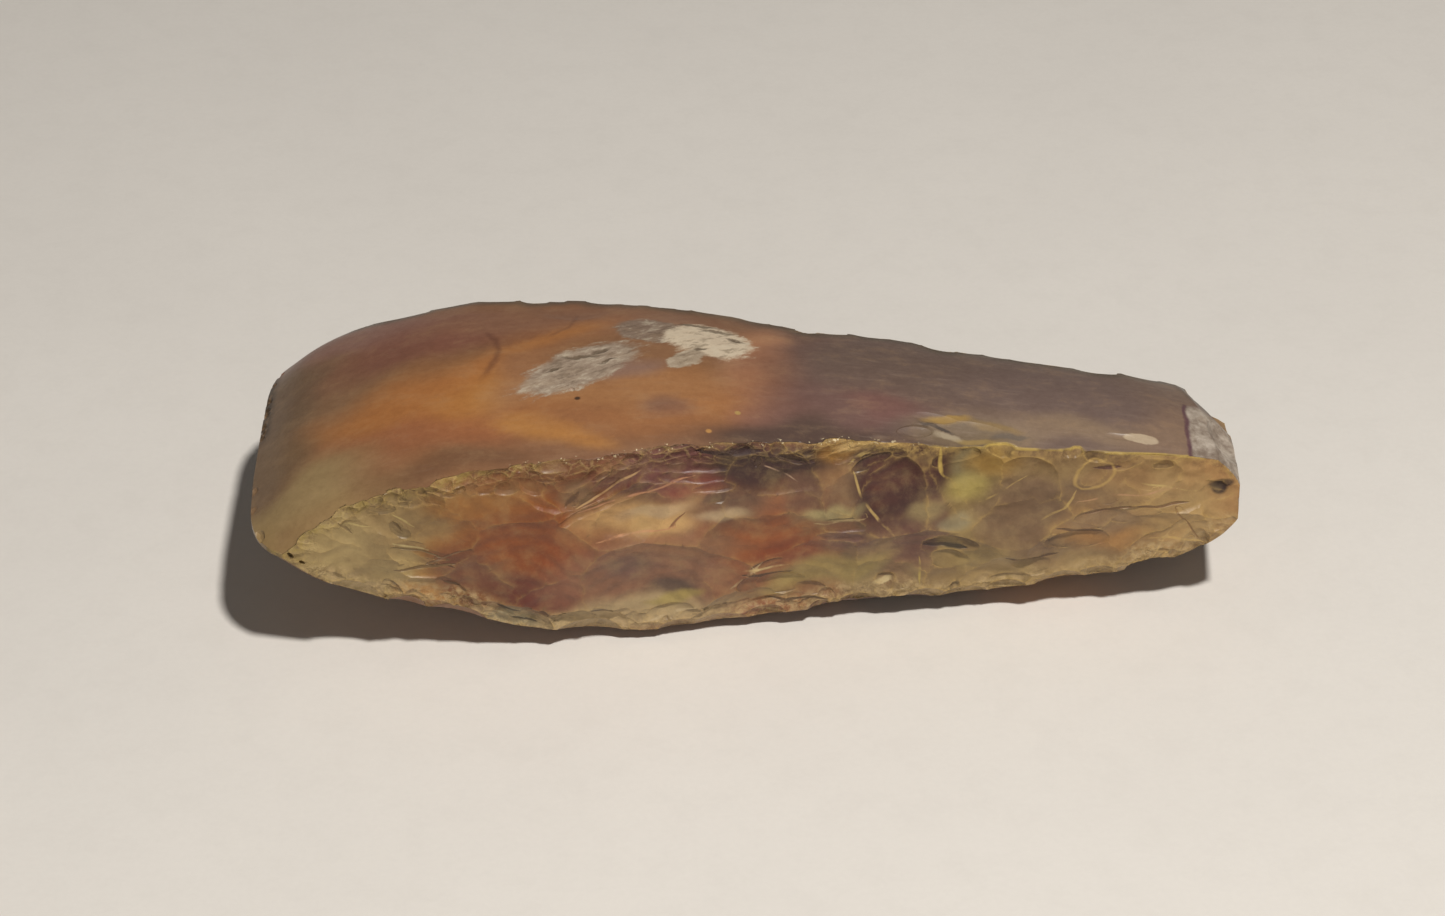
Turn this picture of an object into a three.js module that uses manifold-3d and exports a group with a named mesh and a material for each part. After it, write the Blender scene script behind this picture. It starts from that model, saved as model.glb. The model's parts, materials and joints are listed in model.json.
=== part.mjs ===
import * as THREE from "three";
import { mergeVertices } from "three/addons/utils/BufferGeometryUtils.js";
import Module from "manifold-3d";

// A four-sided flint axe head: two broad faces ground smooth, two narrow sides left as they were
// knapped, a curved cutting edge at one end and a blunt butt at the other. It lies on a broad face.
// Units are millimetres. X runs from the cutting edge to the butt, -Y is the knapped side that the
// light falls on, Z is up, and the origin is below the middle of the stone, where it lies.

// Overall sizes
const length = 190;
const bladeWidth = 68.4;
const buttWidth = 27;
const thickness = 42.2;
const buttThickness = 22;
const edgeThickness = 0.9;

// How the ground faces and the knapped sides swell, and how the two ends curve
const topCrown = 3.2;
const underCrown = 3.4;
const sideSwell = 1.6;
const edgeSweep = 1.2;
const cornerRound = 6.5;
const cornerPower = 8;
const buttSweep = 1;
const buttFallaway = 8;
const buttSkew = 3;

// Small flats: the spot that it lies on, and the struck flat on the end of the butt
const restCut = 0.8;
const buttTrim = 1.6;

// How fine the solid is
const alongSteps = 24;
const acrossSteps = 8;
const upSteps = 4;
const weldDistance = 1e-4;

// Shapes along the stone, as pairs of share of length and share of the size they scale
const widthTaper = [
  [0, 1], [0.08, 0.945], [0.17, 0.87], [0.26, 0.79], [0.345, 0.68], [0.43, 0.545],
  [0.52, 0.415], [0.6, 0.295], [0.7, 0.21], [0.8, 0.14], [0.9, 0.075], [1, 0],
];
const edgeRise = [[0, 0], [0.04, 0.27], [0.09, 0.46], [0.16, 0.66], [0.25, 0.84], [0.34, 0.95], [0.42, 1], [1, 1]];
const buttFall = [[0, 0], [0.43, 0], [0.57, 0.16], [0.7, 0.29], [0.8, 0.47], [0.88, 0.64], [0.95, 0.79], [1, 1]];
const crownRise = [[0, 0], [0.06, 0.25], [0.2, 0.85], [0.35, 1], [0.8, 0.9], [1, 0.6]];

// Height of the middle of the stone over the surface, as shares of thickness
const middleHeight = [
  [0, 0.61], [0.12, 0.61], [0.2, 0.6], [0.3, 0.56], [0.45, 0.54], [0.62, 0.53], [0.8, 0.512], [1, 0.525],
];

// A smooth curve through pairs of place and value, read at one place.
function readCurve(pairs, place) {
  const last = pairs.length - 1;
  let i = 0;
  while (i < last - 1 && place > pairs[i + 1][0]) i += 1;
  const slope = (k) => {
    const a = pairs[Math.max(k - 1, 0)];
    const b = pairs[Math.min(k + 1, last)];
    return (b[1] - a[1]) / (b[0] - a[0]);
  };
  const [x0, y0] = pairs[i];
  const [x1, y1] = pairs[i + 1];
  const span = x1 - x0;
  const t = THREE.MathUtils.clamp((place - x0) / span, 0, 1);
  const t2 = t * t;
  const t3 = t2 * t;
  return (
    y0 * (2 * t3 - 3 * t2 + 1) +
    slope(i) * span * (t3 - 2 * t2 + t) +
    y1 * (3 * t2 - 2 * t3) +
    slope(i + 1) * span * (t3 - t2)
  );
}

// The unworked stone's surface. along runs from 0 at the cutting edge to 1 at the butt, across from
// -1 on the near side to 1 on the far side, and up from -1 on the under face to 1 on the top face.
function stonePoint(along, across, up) {
  const halfWidth = (buttWidth + (bladeWidth - buttWidth) * readCurve(widthTaper, along)) / 2;
  const halfThickness =
    (edgeThickness +
      (thickness - edgeThickness) * readCurve(edgeRise, along) -
      (thickness - buttThickness) * readCurve(buttFall, along)) / 2;
  const crown = (up > 0 ? topCrown : underCrown) * readCurve(crownRise, along);
  const edgeX = edgeSweep * across ** 2 + cornerRound * across ** cornerPower;
  const buttX = length + buttTrim - buttSweep * across ** 2 - buttFallaway * up ** 2 - buttSkew * across * up;
  return new THREE.Vector3(
    edgeX + along * (buttX - edgeX),
    across * (halfWidth + sideSwell * readCurve(crownRise, along) * (1 - up ** 2)),
    thickness * readCurve(middleHeight, along) + up * (halfThickness + crown * (1 - across ** 2)),
  );
}

// The place on one of the stone's faces, with the outward direction there.
function placeOnFace(face, along, second) {
  const at = {
    near: (a, b) => stonePoint(a, -1, b),
    far: (a, b) => stonePoint(a, 1, b),
    top: (a, b) => stonePoint(a, b, 1),
    under: (a, b) => stonePoint(a, b, -1),
    butt: (a, b) => stonePoint(1, a, b),
  }[face];
  const outward = { near: [0, -1, 0], far: [0, 1, 0], top: [0, 0, 1], under: [0, 0, -1], butt: [1, 0, 0] }[face];
  const step = 0.02;
  const point = at(along, second);
  const first = at(along + step, second).sub(at(along - step, second)).normalize();
  const other = at(along, second + step).sub(at(along, second - step));
  const normal = new THREE.Vector3().crossVectors(first, other).normalize();
  if (normal.dot(new THREE.Vector3(...outward)) < 0) normal.negate();
  return { point, first, normal, other: new THREE.Vector3().crossVectors(first, normal) };
}

// Flake scars

// A scar's bowl is made with a radius of 1 and stretched: its floor falls to depth in the middle and
// comes up through the stone's surface at 1. A higher blunt number gives a flatter floor and a
// steeper rim, as where a flake broke off short in a step.
const bowlRim = 1.4;
const bowlLid = 9;
const feathered = 2;
const stepped = 5;

function scarSolid(scar) {
  const rings = scar.rings ?? 3;
  const profile = [];
  for (let i = 0; i <= rings; i += 1) {
    const radius = bowlRim * Math.sin((Math.PI / 2) * (i / rings));
    const rise = Math.min(scar.depth * (radius ** (scar.blunt ?? feathered) - 1), bowlLid / 2);
    profile.push(new THREE.Vector2(radius, rise));
  }
  profile.push(new THREE.Vector2(bowlRim, bowlLid), new THREE.Vector2(0, bowlLid));
  const bowl = new THREE.LatheGeometry(profile, scar.spokes ?? 11);
  bowl.scale(scar.halfLength, 1, scar.halfHeight);
  bowl.rotateX(THREE.MathUtils.degToRad(scar.lean ?? 0));
  bowl.rotateY(THREE.MathUtils.degToRad(scar.turn ?? 0));
  const place = placeOnFace(scar.face, scar.along, scar.second);
  const turned = new THREE.Matrix4().makeBasis(place.first, place.normal, place.other);
  bowl.applyMatrix4(turned.setPosition(place.point));
  return bowl;
}

// A repeatable number from 0 to 1 for each whole number, for spacing and sizing what is irregular.
function chance(number) {
  const value = Math.sin(number * 12.9898 + 4.1) * 43758.5453;
  return value - Math.floor(value);
}

function between(low, high, number) {
  return low + (high - low) * chance(number);
}

// The first flakes of a side: two rows of wide scars, struck in turn from its upper and lower seam.
const firstSpacing = 17;

function firstScars(face, seed) {
  const made = [];
  const count = Math.floor(length / firstSpacing);
  for (let i = 1; i < count; i += 1) {
    for (const row of [-1, 1]) {
      const own = seed + 10 * i + row;
      made.push({
        face,
        along: (i + (row > 0 ? 0.5 : 0.1) + between(-0.2, 0.2, own)) / count,
        second: row * between(0.34, 0.58, own + 1),
        halfLength: between(8, 12.5, own + 2),
        halfHeight: between(7.5, 11, own + 3),
        depth: between(1, 1.6, own + 4),
        turn: between(-25, 25, own + 5),
        blunt: chance(own + 6) > 0.75 ? stepped : feathered,
      });
    }
  }
  return made;
}

// The last flakes of the near side, which give it its pattern, from the cutting edge to the butt.
// second is the height on the side, from -1 at the lower seam to 1 at the upper one.
const lastScars = [
  { along: 0.075, second: -0.15, halfLength: 11, halfHeight: 8, depth: 1 },
  { along: 0.165, second: 0.15, halfLength: 10, halfHeight: 10, depth: 1.4, turn: 10 },
  { along: 0.14, second: -0.14, halfLength: 5.5, halfHeight: 4, depth: 1.2, turn: -8, blunt: stepped },
  { along: 0.13, second: 0.7, halfLength: 4.4, halfHeight: 3.4, depth: 0.9, turn: -20 },
  { along: 0.25, second: -0.08, halfLength: 15, halfHeight: 12.5, depth: 1.9, turn: -6 },
  { along: 0.155, second: -0.72, halfLength: 9.5, halfHeight: 4.4, depth: 1, turn: -12 },
  { along: 0.385, second: -0.46, halfLength: 18, halfHeight: 12.5, depth: 1.9, turn: -4 },
  { along: 0.36, second: 0.34, halfLength: 13, halfHeight: 6.2, depth: 1.7, turn: 15 },
  { along: 0.278, second: 0.66, halfLength: 9, halfHeight: 4, depth: 1.4, turn: -24, lean: 10, blunt: stepped },
  { along: 0.338, second: 0.72, halfLength: 11, halfHeight: 3.4, depth: 1.6, turn: 26, lean: 10, blunt: stepped },
  { along: 0.42, second: 0.84, halfLength: 12, halfHeight: 4.4, depth: 1.3, turn: 3, lean: 8, blunt: stepped },
  { along: 0.44, second: 0.52, halfLength: 8, halfHeight: 3.4, depth: 1.2, turn: 6, lean: 8, blunt: stepped },
  { along: 0.51, second: 0.62, halfLength: 11, halfHeight: 6.8, depth: 1.8, turn: -10 },
  { along: 0.5, second: 0.02, halfLength: 13, halfHeight: 9, depth: 1.5 },
  { along: 0.58, second: 0.74, halfLength: 7, halfHeight: 5.4, depth: 1.4, turn: 16 },
  { along: 0.63, second: 0.36, halfLength: 7.8, halfHeight: 12, depth: 2, turn: 16 },
  { along: 0.715, second: 0.5, halfLength: 8.4, halfHeight: 10.5, depth: 1.9, turn: 20 },
  { along: 0.768, second: 0.1, halfLength: 10.5, halfHeight: 8.4, depth: 1.3, turn: 22 },
  { along: 0.848, second: 0.64, halfLength: 4.2, halfHeight: 4, depth: 1.3 },
  { along: 0.908, second: 0.58, halfLength: 10.5, halfHeight: 5, depth: 1.1, turn: 2 },
  { along: 0.895, second: -0.22, halfLength: 12, halfHeight: 6.6, depth: 1.2, turn: 6 },
  { along: 0.828, second: -0.06, halfLength: 6.4, halfHeight: 3.2, depth: 1.1, lean: 8, blunt: stepped },
  { along: 0.7, second: -0.3, halfLength: 6.6, halfHeight: 3.4, depth: 1.3, turn: -8, lean: -8, blunt: stepped },
  { along: 0.645, second: -0.62, halfLength: 9, halfHeight: 6.4, depth: 1.3 },
  { along: 0.515, second: -0.42, halfLength: 7.4, halfHeight: 3.6, depth: 1.3, turn: 8, lean: -8, blunt: stepped },
  { along: 0.495, second: -0.74, halfLength: 13, halfHeight: 5.2, depth: 1.4, turn: 20 },
  { along: 0.34, second: -0.9, halfLength: 10, halfHeight: 3.4, depth: 1.4, turn: -4, blunt: stepped },
  { along: 0.25, second: -0.92, halfLength: 8, halfHeight: 3.6, depth: 1.2, blunt: stepped },
  { along: 0.765, second: -0.74, halfLength: 9.5, halfHeight: 5.2, depth: 1.1 },
  { along: 0.978, second: 0.34, halfLength: 1.8, halfHeight: 2.1, depth: 1.5, rings: 3, spokes: 5 },
].map((scar) => ({ face: "near", ...scar }));

// Fine trimming along the four seams, where the broad faces meet the sides.
const trimSpacing = 9.5;
const trimStart = 0.05;
const trimEnd = 0.97;

function seamTrimming(face, seam, seed) {
  const made = [];
  const count = Math.floor(((trimEnd - trimStart) * length) / trimSpacing);
  for (let i = 0; i < count; i += 1) {
    const own = seed + 7 * i;
    made.push({
      face,
      along: trimStart + ((trimEnd - trimStart) * (i + between(0.1, 0.9, own))) / count,
      second: seam * between(0.9, 1, own + 1),
      halfLength: between(2, 5, own + 2),
      halfHeight: between(1.6, 3, own + 3),
      depth: between(0.5, 1.2, own + 4),
      lean: -seam * (face === "far" ? -1 : 1) * between(4, 16, own + 5),
      rings: 2,
      spokes: 6,
    });
  }
  return made;
}

// Wide, shallow bites that the grinding left along the far rim of the top face, towards the butt.
const rimBites = [
  { along: 0.585, halfLength: 5 },
  { along: 0.735, halfLength: 6.5 },
  { along: 0.8, halfLength: 5 },
  { along: 0.855, halfLength: 6 },
  { along: 0.915, halfLength: 5.5 },
].map((bite) => ({ face: "far", second: 1, halfHeight: 4.5, depth: 1.5, lean: 12, ...bite }));

// Rests of old scars that show as faint curves in the ground faces.
const groundOver = [
  { face: "top", along: 0.215, second: 0.34, halfLength: 9, halfHeight: 11, depth: 0.35 },
  { face: "top", along: 0.335, second: 0.8, halfLength: 8, halfHeight: 5, depth: 0.35 },
  { face: "top", along: 0.71, second: -0.86, halfLength: 12, halfHeight: 3.4, depth: 0.6 },
  { face: "under", along: 0.24, second: -0.5, halfLength: 13, halfHeight: 9, depth: 0.4 },
  { face: "under", along: 0.7, second: 0.5, halfLength: 12, halfHeight: 7, depth: 0.5 },
];

// Facets of the butt: the slanted one at its upper far corner, and smaller ones round the end.
const buttScars = [
  { face: "butt", along: 0.75, second: 0.72, halfLength: 9, halfHeight: 8, depth: 2.6, lean: 20 },
  { face: "butt", along: -0.35, second: 0.85, halfLength: 6, halfHeight: 5, depth: 1.4, lean: 14 },
  { face: "butt", along: -0.4, second: -0.9, halfLength: 9, halfHeight: 7, depth: 2.4, lean: -14 },
  { face: "butt", along: 0.7, second: -0.8, halfLength: 7, halfHeight: 7, depth: 1.8, lean: -10 },
];

// Nicks along the cutting edge.
const nickSpacing = 8;

function edgeNicks() {
  const made = [];
  const count = Math.floor(bladeWidth / nickSpacing);
  for (let i = 0; i < count; i += 1) {
    const seed = 900 + 5 * i;
    made.push({
      face: chance(seed) > 0.5 ? "top" : "under",
      along: 0.002,
      second: -0.94 + (1.88 * (i + chance(seed + 1))) / count,
      halfLength: between(0.9, 1.6, seed + 2),
      halfHeight: between(1.6, 3.4, seed + 3),
      depth: between(0.25, 0.5, seed + 4),
      rings: 2,
      spokes: 7,
    });
  }
  return made;
}

// Solids

const wasm = await Module();
wasm.setup();
const { Manifold, Mesh } = wasm;

function solidOf(geometry) {
  const bare = geometry.clone();
  bare.deleteAttribute("normal");
  bare.deleteAttribute("uv");
  const merged = mergeVertices(bare, weldDistance);
  const solid = new Manifold(
    new Mesh({
      numProp: 3,
      vertProperties: new Float32Array(merged.attributes.position.array),
      triVerts: new Uint32Array(merged.index.array),
    }),
  );
  return solid;
}

function blankGeometry() {
  const block = new THREE.BoxGeometry(1, 1, 1, alongSteps, acrossSteps, upSteps);
  const corner = block.attributes.position;
  for (let i = 0; i < corner.count; i += 1) {
    const across = Math.sin(Math.PI * corner.getY(i));
    const up = Math.sin(Math.PI * corner.getZ(i));
    const along = corner.getX(i) + 0.5;
    const crowded = (1 - Math.cos(Math.PI * along)) / 2;
    const point = stonePoint((along + crowded) / 2, across, up);
    corner.setXYZ(i, point.x, point.y, point.z);
  }
  return block;
}

// A block that lies past one plane, to cut a flat with.
function blockPast(x, z) {
  const size = 2 * length;
  const block = new THREE.BoxGeometry(size, size, size);
  block.translate(x === undefined ? 0 : x + size / 2, 0, z === undefined ? 0 : z - size / 2);
  return block;
}

function axeGeometry() {
  const scars = [
    ...firstScars("near", 1200),
    ...firstScars("far", 200),
    ...lastScars,
    ...seamTrimming("near", 1, 11),
    ...seamTrimming("near", -1, 301),
    ...seamTrimming("far", 1, 501),
    ...seamTrimming("far", -1, 701),
    ...rimBites,
    ...groundOver,
    ...buttScars,
    ...edgeNicks(),
  ];
  const blank = solidOf(blankGeometry());
  const lowest = blank.boundingBox().min[2];
  const cutters = scars.map((scar) => solidOf(scarSolid(scar)));
  cutters.push(solidOf(blockPast(undefined, lowest + restCut)));
  cutters.push(solidOf(blockPast(length, undefined)));
  const worked = blank.subtract(Manifold.union(cutters));
  const mesh = worked.getMesh();
  const geometry = new THREE.BufferGeometry();
  geometry.setAttribute("position", new THREE.BufferAttribute(mesh.vertProperties, 3));
  geometry.setIndex(new THREE.BufferAttribute(mesh.triVerts, 1));
  geometry.computeBoundingBox();
  const { min, max } = geometry.boundingBox;
  geometry.translate(-(min.x + max.x) / 2, -(min.y + max.y) / 2, -min.z);
  const flatShaded = geometry.toNonIndexed();
  flatShaded.computeVertexNormals();
  return flatShaded;
}

const flint = new THREE.MeshStandardMaterial({ color: 0x97693f, roughness: 0.38, metalness: 0 });
const axe = new THREE.Mesh(axeGeometry(), flint);
axe.name = "axe_head";

const part = new THREE.Group();
part.add(axe);

export default part;
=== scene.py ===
import json
import math
import time

import bmesh
import bpy
import numpy as np
from mathutils import Matrix, Vector, kdtree, noise
from mathutils.bvhtree import BVHTree

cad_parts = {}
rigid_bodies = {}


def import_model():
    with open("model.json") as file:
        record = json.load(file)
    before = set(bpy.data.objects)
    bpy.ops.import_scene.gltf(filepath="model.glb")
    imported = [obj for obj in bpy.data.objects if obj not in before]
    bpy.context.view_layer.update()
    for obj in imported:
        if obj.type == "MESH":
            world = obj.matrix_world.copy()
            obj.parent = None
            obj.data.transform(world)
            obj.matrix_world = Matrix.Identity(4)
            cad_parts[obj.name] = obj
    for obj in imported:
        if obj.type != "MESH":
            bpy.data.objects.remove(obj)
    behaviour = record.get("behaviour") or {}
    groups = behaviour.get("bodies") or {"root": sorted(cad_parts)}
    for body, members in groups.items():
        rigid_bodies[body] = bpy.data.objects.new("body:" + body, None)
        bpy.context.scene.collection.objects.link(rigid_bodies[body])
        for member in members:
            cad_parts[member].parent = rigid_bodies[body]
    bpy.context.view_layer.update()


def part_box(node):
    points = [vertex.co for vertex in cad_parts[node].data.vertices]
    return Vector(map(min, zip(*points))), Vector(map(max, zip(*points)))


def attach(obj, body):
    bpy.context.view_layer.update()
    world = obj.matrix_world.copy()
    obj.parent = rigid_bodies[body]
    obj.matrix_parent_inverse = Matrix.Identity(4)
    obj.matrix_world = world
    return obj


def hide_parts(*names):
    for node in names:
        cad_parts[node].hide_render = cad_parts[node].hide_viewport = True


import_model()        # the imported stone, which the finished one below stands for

started = time.time()


def say(stage):
    print(f"{time.time() - started:6.1f} s  {stage}")


# Form of the stone, in millimetres: X from the cutting edge to the butt, -Y the near flaked side
toMetres = 0.001
cadLow, cadHigh = (Vector(corner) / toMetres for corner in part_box("axe_head"))

stone = {
    "length": cadHigh.x - cadLow.x,
    "bladeWidth": cadHigh.y - cadLow.y,
    "buttWidth": 27,
    "thickness": 42.2,
    "buttThickness": 22,
    "edgeThickness": 0.9,
    "topCrown": 3.2,
    "underCrown": 3.4,
    "sideSwell": 1.6,
    "edgeSweep": 1.2,
    "cornerRound": 6.5,
    "cornerPower": 8,
    "buttSweep": 1,
    "buttFallaway": 8,
    "buttSkew": 3,
    "restCut": 0.8,
    "buttTrim": 1.6,
    # shapes along the stone: share of length, share of the size that they scale
    "widthTaper": [
        (0, 1), (0.08, 0.945), (0.17, 0.87), (0.26, 0.79), (0.345, 0.68), (0.43, 0.545),
        (0.52, 0.415), (0.6, 0.295), (0.7, 0.21), (0.8, 0.14), (0.9, 0.075), (1, 0),
    ],
    "edgeRise": [
        (0, 0), (0.04, 0.27), (0.09, 0.46), (0.16, 0.66), (0.25, 0.84), (0.34, 0.95), (0.42, 1), (1, 1),
    ],
    "buttFall": [
        (0, 0), (0.43, 0), (0.57, 0.16), (0.7, 0.29), (0.8, 0.47), (0.88, 0.64), (0.95, 0.79), (1, 1),
    ],
    "crownRise": [(0, 0), (0.06, 0.25), (0.2, 0.85), (0.35, 1), (0.8, 0.9), (1, 0.6)],
    "middleHeight": [
        (0, 0.61), (0.12, 0.61), (0.2, 0.6), (0.3, 0.56),
        (0.45, 0.54), (0.62, 0.53), (0.8, 0.512), (1, 0.525),
    ],
    # how fine the mesh is
    "alongSteps": 150,
    "acrossSteps": 40,
    "upSteps": 30,
}


def readCurve(pairs, place):
    last = len(pairs) - 1
    i = 0
    while i < last - 1 and place > pairs[i + 1][0]:
        i += 1

    def slope(k):
        a, b = pairs[max(k - 1, 0)], pairs[min(k + 1, last)]
        return (b[1] - a[1]) / (b[0] - a[0])

    (x0, y0), (x1, y1) = pairs[i], pairs[i + 1]
    span = x1 - x0
    t = min(max((place - x0) / span, 0), 1)
    return (
        y0 * (2 * t**3 - 3 * t**2 + 1)
        + slope(i) * span * (t**3 - 2 * t**2 + t)
        + y1 * (3 * t**2 - 2 * t**3)
        + slope(i + 1) * span * (t**3 - t**2)
    )


def stonePoint(along, across, up):
    # along runs 0 to 1 from edge to butt, across -1 near to 1 far, up -1 under to 1 top
    s = stone
    taper = readCurve(s["widthTaper"], along)
    halfWidth = (s["buttWidth"] + (s["bladeWidth"] - s["buttWidth"]) * taper) / 2
    halfThickness = (
        s["edgeThickness"]
        + (s["thickness"] - s["edgeThickness"]) * readCurve(s["edgeRise"], along)
        - (s["thickness"] - s["buttThickness"]) * readCurve(s["buttFall"], along)
    ) / 2
    swell = readCurve(s["crownRise"], along)
    crown = (s["topCrown"] if up > 0 else s["underCrown"]) * swell
    edgeX = s["edgeSweep"] * across**2 + s["cornerRound"] * abs(across) ** s["cornerPower"]
    buttX = s["length"] + s["buttTrim"] - s["buttSweep"] * across**2 - s["buttFallaway"] * up**2
    buttX -= s["buttSkew"] * across * up
    middle = s["thickness"] * readCurve(s["middleHeight"], along)
    return Vector((
        edgeX + along * (buttX - edgeX),
        across * (halfWidth + s["sideSwell"] * swell * (1 - up**2)),
        middle + up * (halfThickness + crown * (1 - across**2)),
    ))


faces = {
    "near": (lambda a, b: stonePoint(a, -1, b), Vector((0, -1, 0))),
    "far": (lambda a, b: stonePoint(a, 1, b), Vector((0, 1, 0))),
    "top": (lambda a, b: stonePoint(a, b, 1), Vector((0, 0, 1))),
    "under": (lambda a, b: stonePoint(a, b, -1), Vector((0, 0, -1))),
    "butt": (lambda a, b: stonePoint(1, a, b), Vector((1, 0, 0))),
}


def placeOnFace(face, along, second):
    # a matrix whose X runs along the face, Y out of it and Z down it, at that place
    at, outward = faces[face]
    step = 0.02
    first = (at(along + step, second) - at(along - step, second)).normalized()
    other = at(along, second + step) - at(along, second - step)
    normal = first.cross(other).normalized()
    if normal.dot(outward) < 0:
        normal.negate()
    turned = Matrix((first, normal, first.cross(normal))).transposed().to_4x4()
    return Matrix.Translation(at(along, second)) @ turned


def chance(number):
    value = math.sin(number * 12.9898 + 4.1) * 43758.5453
    return value - math.floor(value)


def between(low, high, number):
    return low + (high - low) * chance(number)


noise.seed_set(5)        # so that the noise below is the same at each run
say("stone form ready")

# Flake scars
feathered, hinged, stepped = 2, 3, 5        # how squarely a flake broke off at its end

scars = {
    "bowlRim": 1.4,
    "bowlLid": 9,
    "firstSpacing": 17,
    "trimSpacing": 9.5,
    "trimStart": 0.05,
    "trimEnd": 0.97,
    "calmFrom": 0.6,        # share of length past which the upper near seam is clean
    # nicks of the cutting edge: where they start and end across it, spacing
    "nicked": [(-0.94, 0.1, 7), (0.1, 0.8, 1.9)],
    "uneven": 0.07,
    "chipUneven": 0.2,
    "chipReach": 3.2,
    # where a small scar looks for the surface under it, in half sizes, and how much of it has to be there
    "seatProbes": [
        (0, 0), (0.7, 0), (-0.7, 0), (0, 0.7), (0, -0.7),
        (0.5, 0.5), (-0.5, 0.5), (0.5, -0.5), (-0.5, -0.5),
    ],
    "seatReach": 1.5,
    "seatFewest": 5,
    # size of the faces that each face's scars are cut with
    "fineness": {"near": 0.8, "far": 1.4, "top": 1.2, "under": 1.5, "butt": 1},
    "rippleHeight": 0.1,
    "rippleLength": 2.4,
    "rippleReach": 12,
    "rippleSpread": 0.9,
    # crushing of the seams: share of length where it starts and ends, small steps per 100 mm
    "crushed": [(0.05, 0.16, 70), (0.16, 0.44, 120), (0.44, 0.62, 90), (0.62, 0.97, 12)],
}


def scar(
    face, along, second, halfLength, halfHeight, depth,
    turn=0, lean=0, blunt=feathered, stain="any", wedge=0,
):
    # lean tilts the scar, and wedge lets it run out at one side: both deeper downwards where above 0
    row = dict(face=face, along=along, second=second, halfLength=halfLength, halfHeight=halfHeight)
    row.update(depth=depth, turn=turn, lean=lean, blunt=blunt, stain=stain, wedge=wedge)
    return row


def firstScars(face, seed):
    made = []
    count = math.floor(stone["length"] / scars["firstSpacing"])
    for i in range(1, count):
        for row in (-1, 1):
            own = seed + 10 * i + row
            made.append(scar(
                face,
                (i + (0.5 if row > 0 else 0.1) + between(-0.2, 0.2, own)) / count,
                row * between(0.34, 0.58, own + 1),
                between(8, 12.5, own + 2),
                between(7.5, 11, own + 3),
                between(1, 1.6, own + 4),
                turn=between(-25, 25, own + 5),
                blunt=stepped if chance(own + 6) > 0.75 else feathered,
            ))
    return made


# The last flakes of the near side, from the cutting edge to the butt
lastScars = [
    scar("near", 0.075, -0.15, 11, 8, 1.18, stain="olive"),
    scar("near", 0.165, 0.15, 10, 10, 1.65, turn=10, stain="amber"),
    scar("near", 0.14, -0.14, 5.5, 4, 1.42, turn=-8, blunt=stepped, stain="olive"),
    scar("near", 0.125, 0.6, 7.5, 4.6, 0.6, turn=-26, stain="olive"),
    scar("near", 0.25, -0.08, 15, 12.5, 2.24, turn=-6, stain="red"),
    scar("near", 0.155, -0.72, 9.5, 4.4, 1.18, turn=-12, stain="olive"),
    scar("near", 0.385, -0.46, 18, 12.5, 2.24, turn=-4, stain="pink"),
    scar("near", 0.36, 0.34, 13, 6.2, 2.01, turn=15, stain="ochre"),
    scar("near", 0.278, 0.66, 9, 4, 1.65, turn=-24, blunt=stepped, wedge=0.9, stain="brown"),
    scar("near", 0.338, 0.72, 11, 3.4, 1.89, turn=26, blunt=stepped, wedge=0.9, stain="maroon"),
    scar("near", 0.42, 0.84, 12, 4.4, 1.53, turn=3, blunt=stepped, wedge=0.9, stain="maroon"),
    scar("near", 0.44, 0.52, 8, 3.4, 1.42, turn=6, blunt=stepped, wedge=0.9, stain="maroon"),
    scar("near", 0.51, 0.62, 11, 6.8, 2.12, turn=-10, stain="dark"),
    scar("near", 0.5, 0.02, 13, 9, 1.77, stain="red"),
    scar("near", 0.58, 0.74, 7, 5.4, 1.65, turn=16, stain="ochre"),
    scar("near", 0.63, 0.36, 7.8, 12, 2.36, turn=16, stain="maroon"),
    scar("near", 0.715, 0.5, 8.4, 10.5, 2.24, turn=20, stain="yellow"),
    scar("near", 0.768, 0.1, 10.5, 8.4, 1.53, turn=22, stain="brown"),
    scar("near", 0.848, 0.64, 4.2, 4, 1.53, stain="tan"),
    scar("near", 0.908, 0.58, 10.5, 5, 1.3, turn=2, stain="tan"),
    scar("near", 0.895, -0.22, 12, 6.6, 1.42, turn=6, stain="tan"),
    scar("near", 0.828, -0.06, 6.4, 3.2, 1.3, blunt=stepped, wedge=0.9, stain="tan"),
    scar("near", 0.7, -0.3, 6.6, 3.4, 1.53, turn=-8, blunt=stepped, wedge=-0.9, stain="brown"),
    scar("near", 0.645, -0.62, 9, 6.4, 1.53, stain="khaki"),
    scar("near", 0.515, -0.42, 7.4, 3.6, 1.53, turn=8, blunt=stepped, wedge=-0.9, stain="khaki"),
    scar("near", 0.495, -0.74, 13, 5.2, 1.65, turn=20, stain="khaki"),
    scar("near", 0.34, -0.9, 10, 3.4, 1.65, turn=-4, blunt=stepped, stain="khaki"),
    scar("near", 0.25, -0.92, 8, 3.6, 1.42, blunt=stepped, stain="khaki"),
    scar("near", 0.765, -0.74, 9.5, 5.2, 1.3, stain="khaki"),
]


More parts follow.
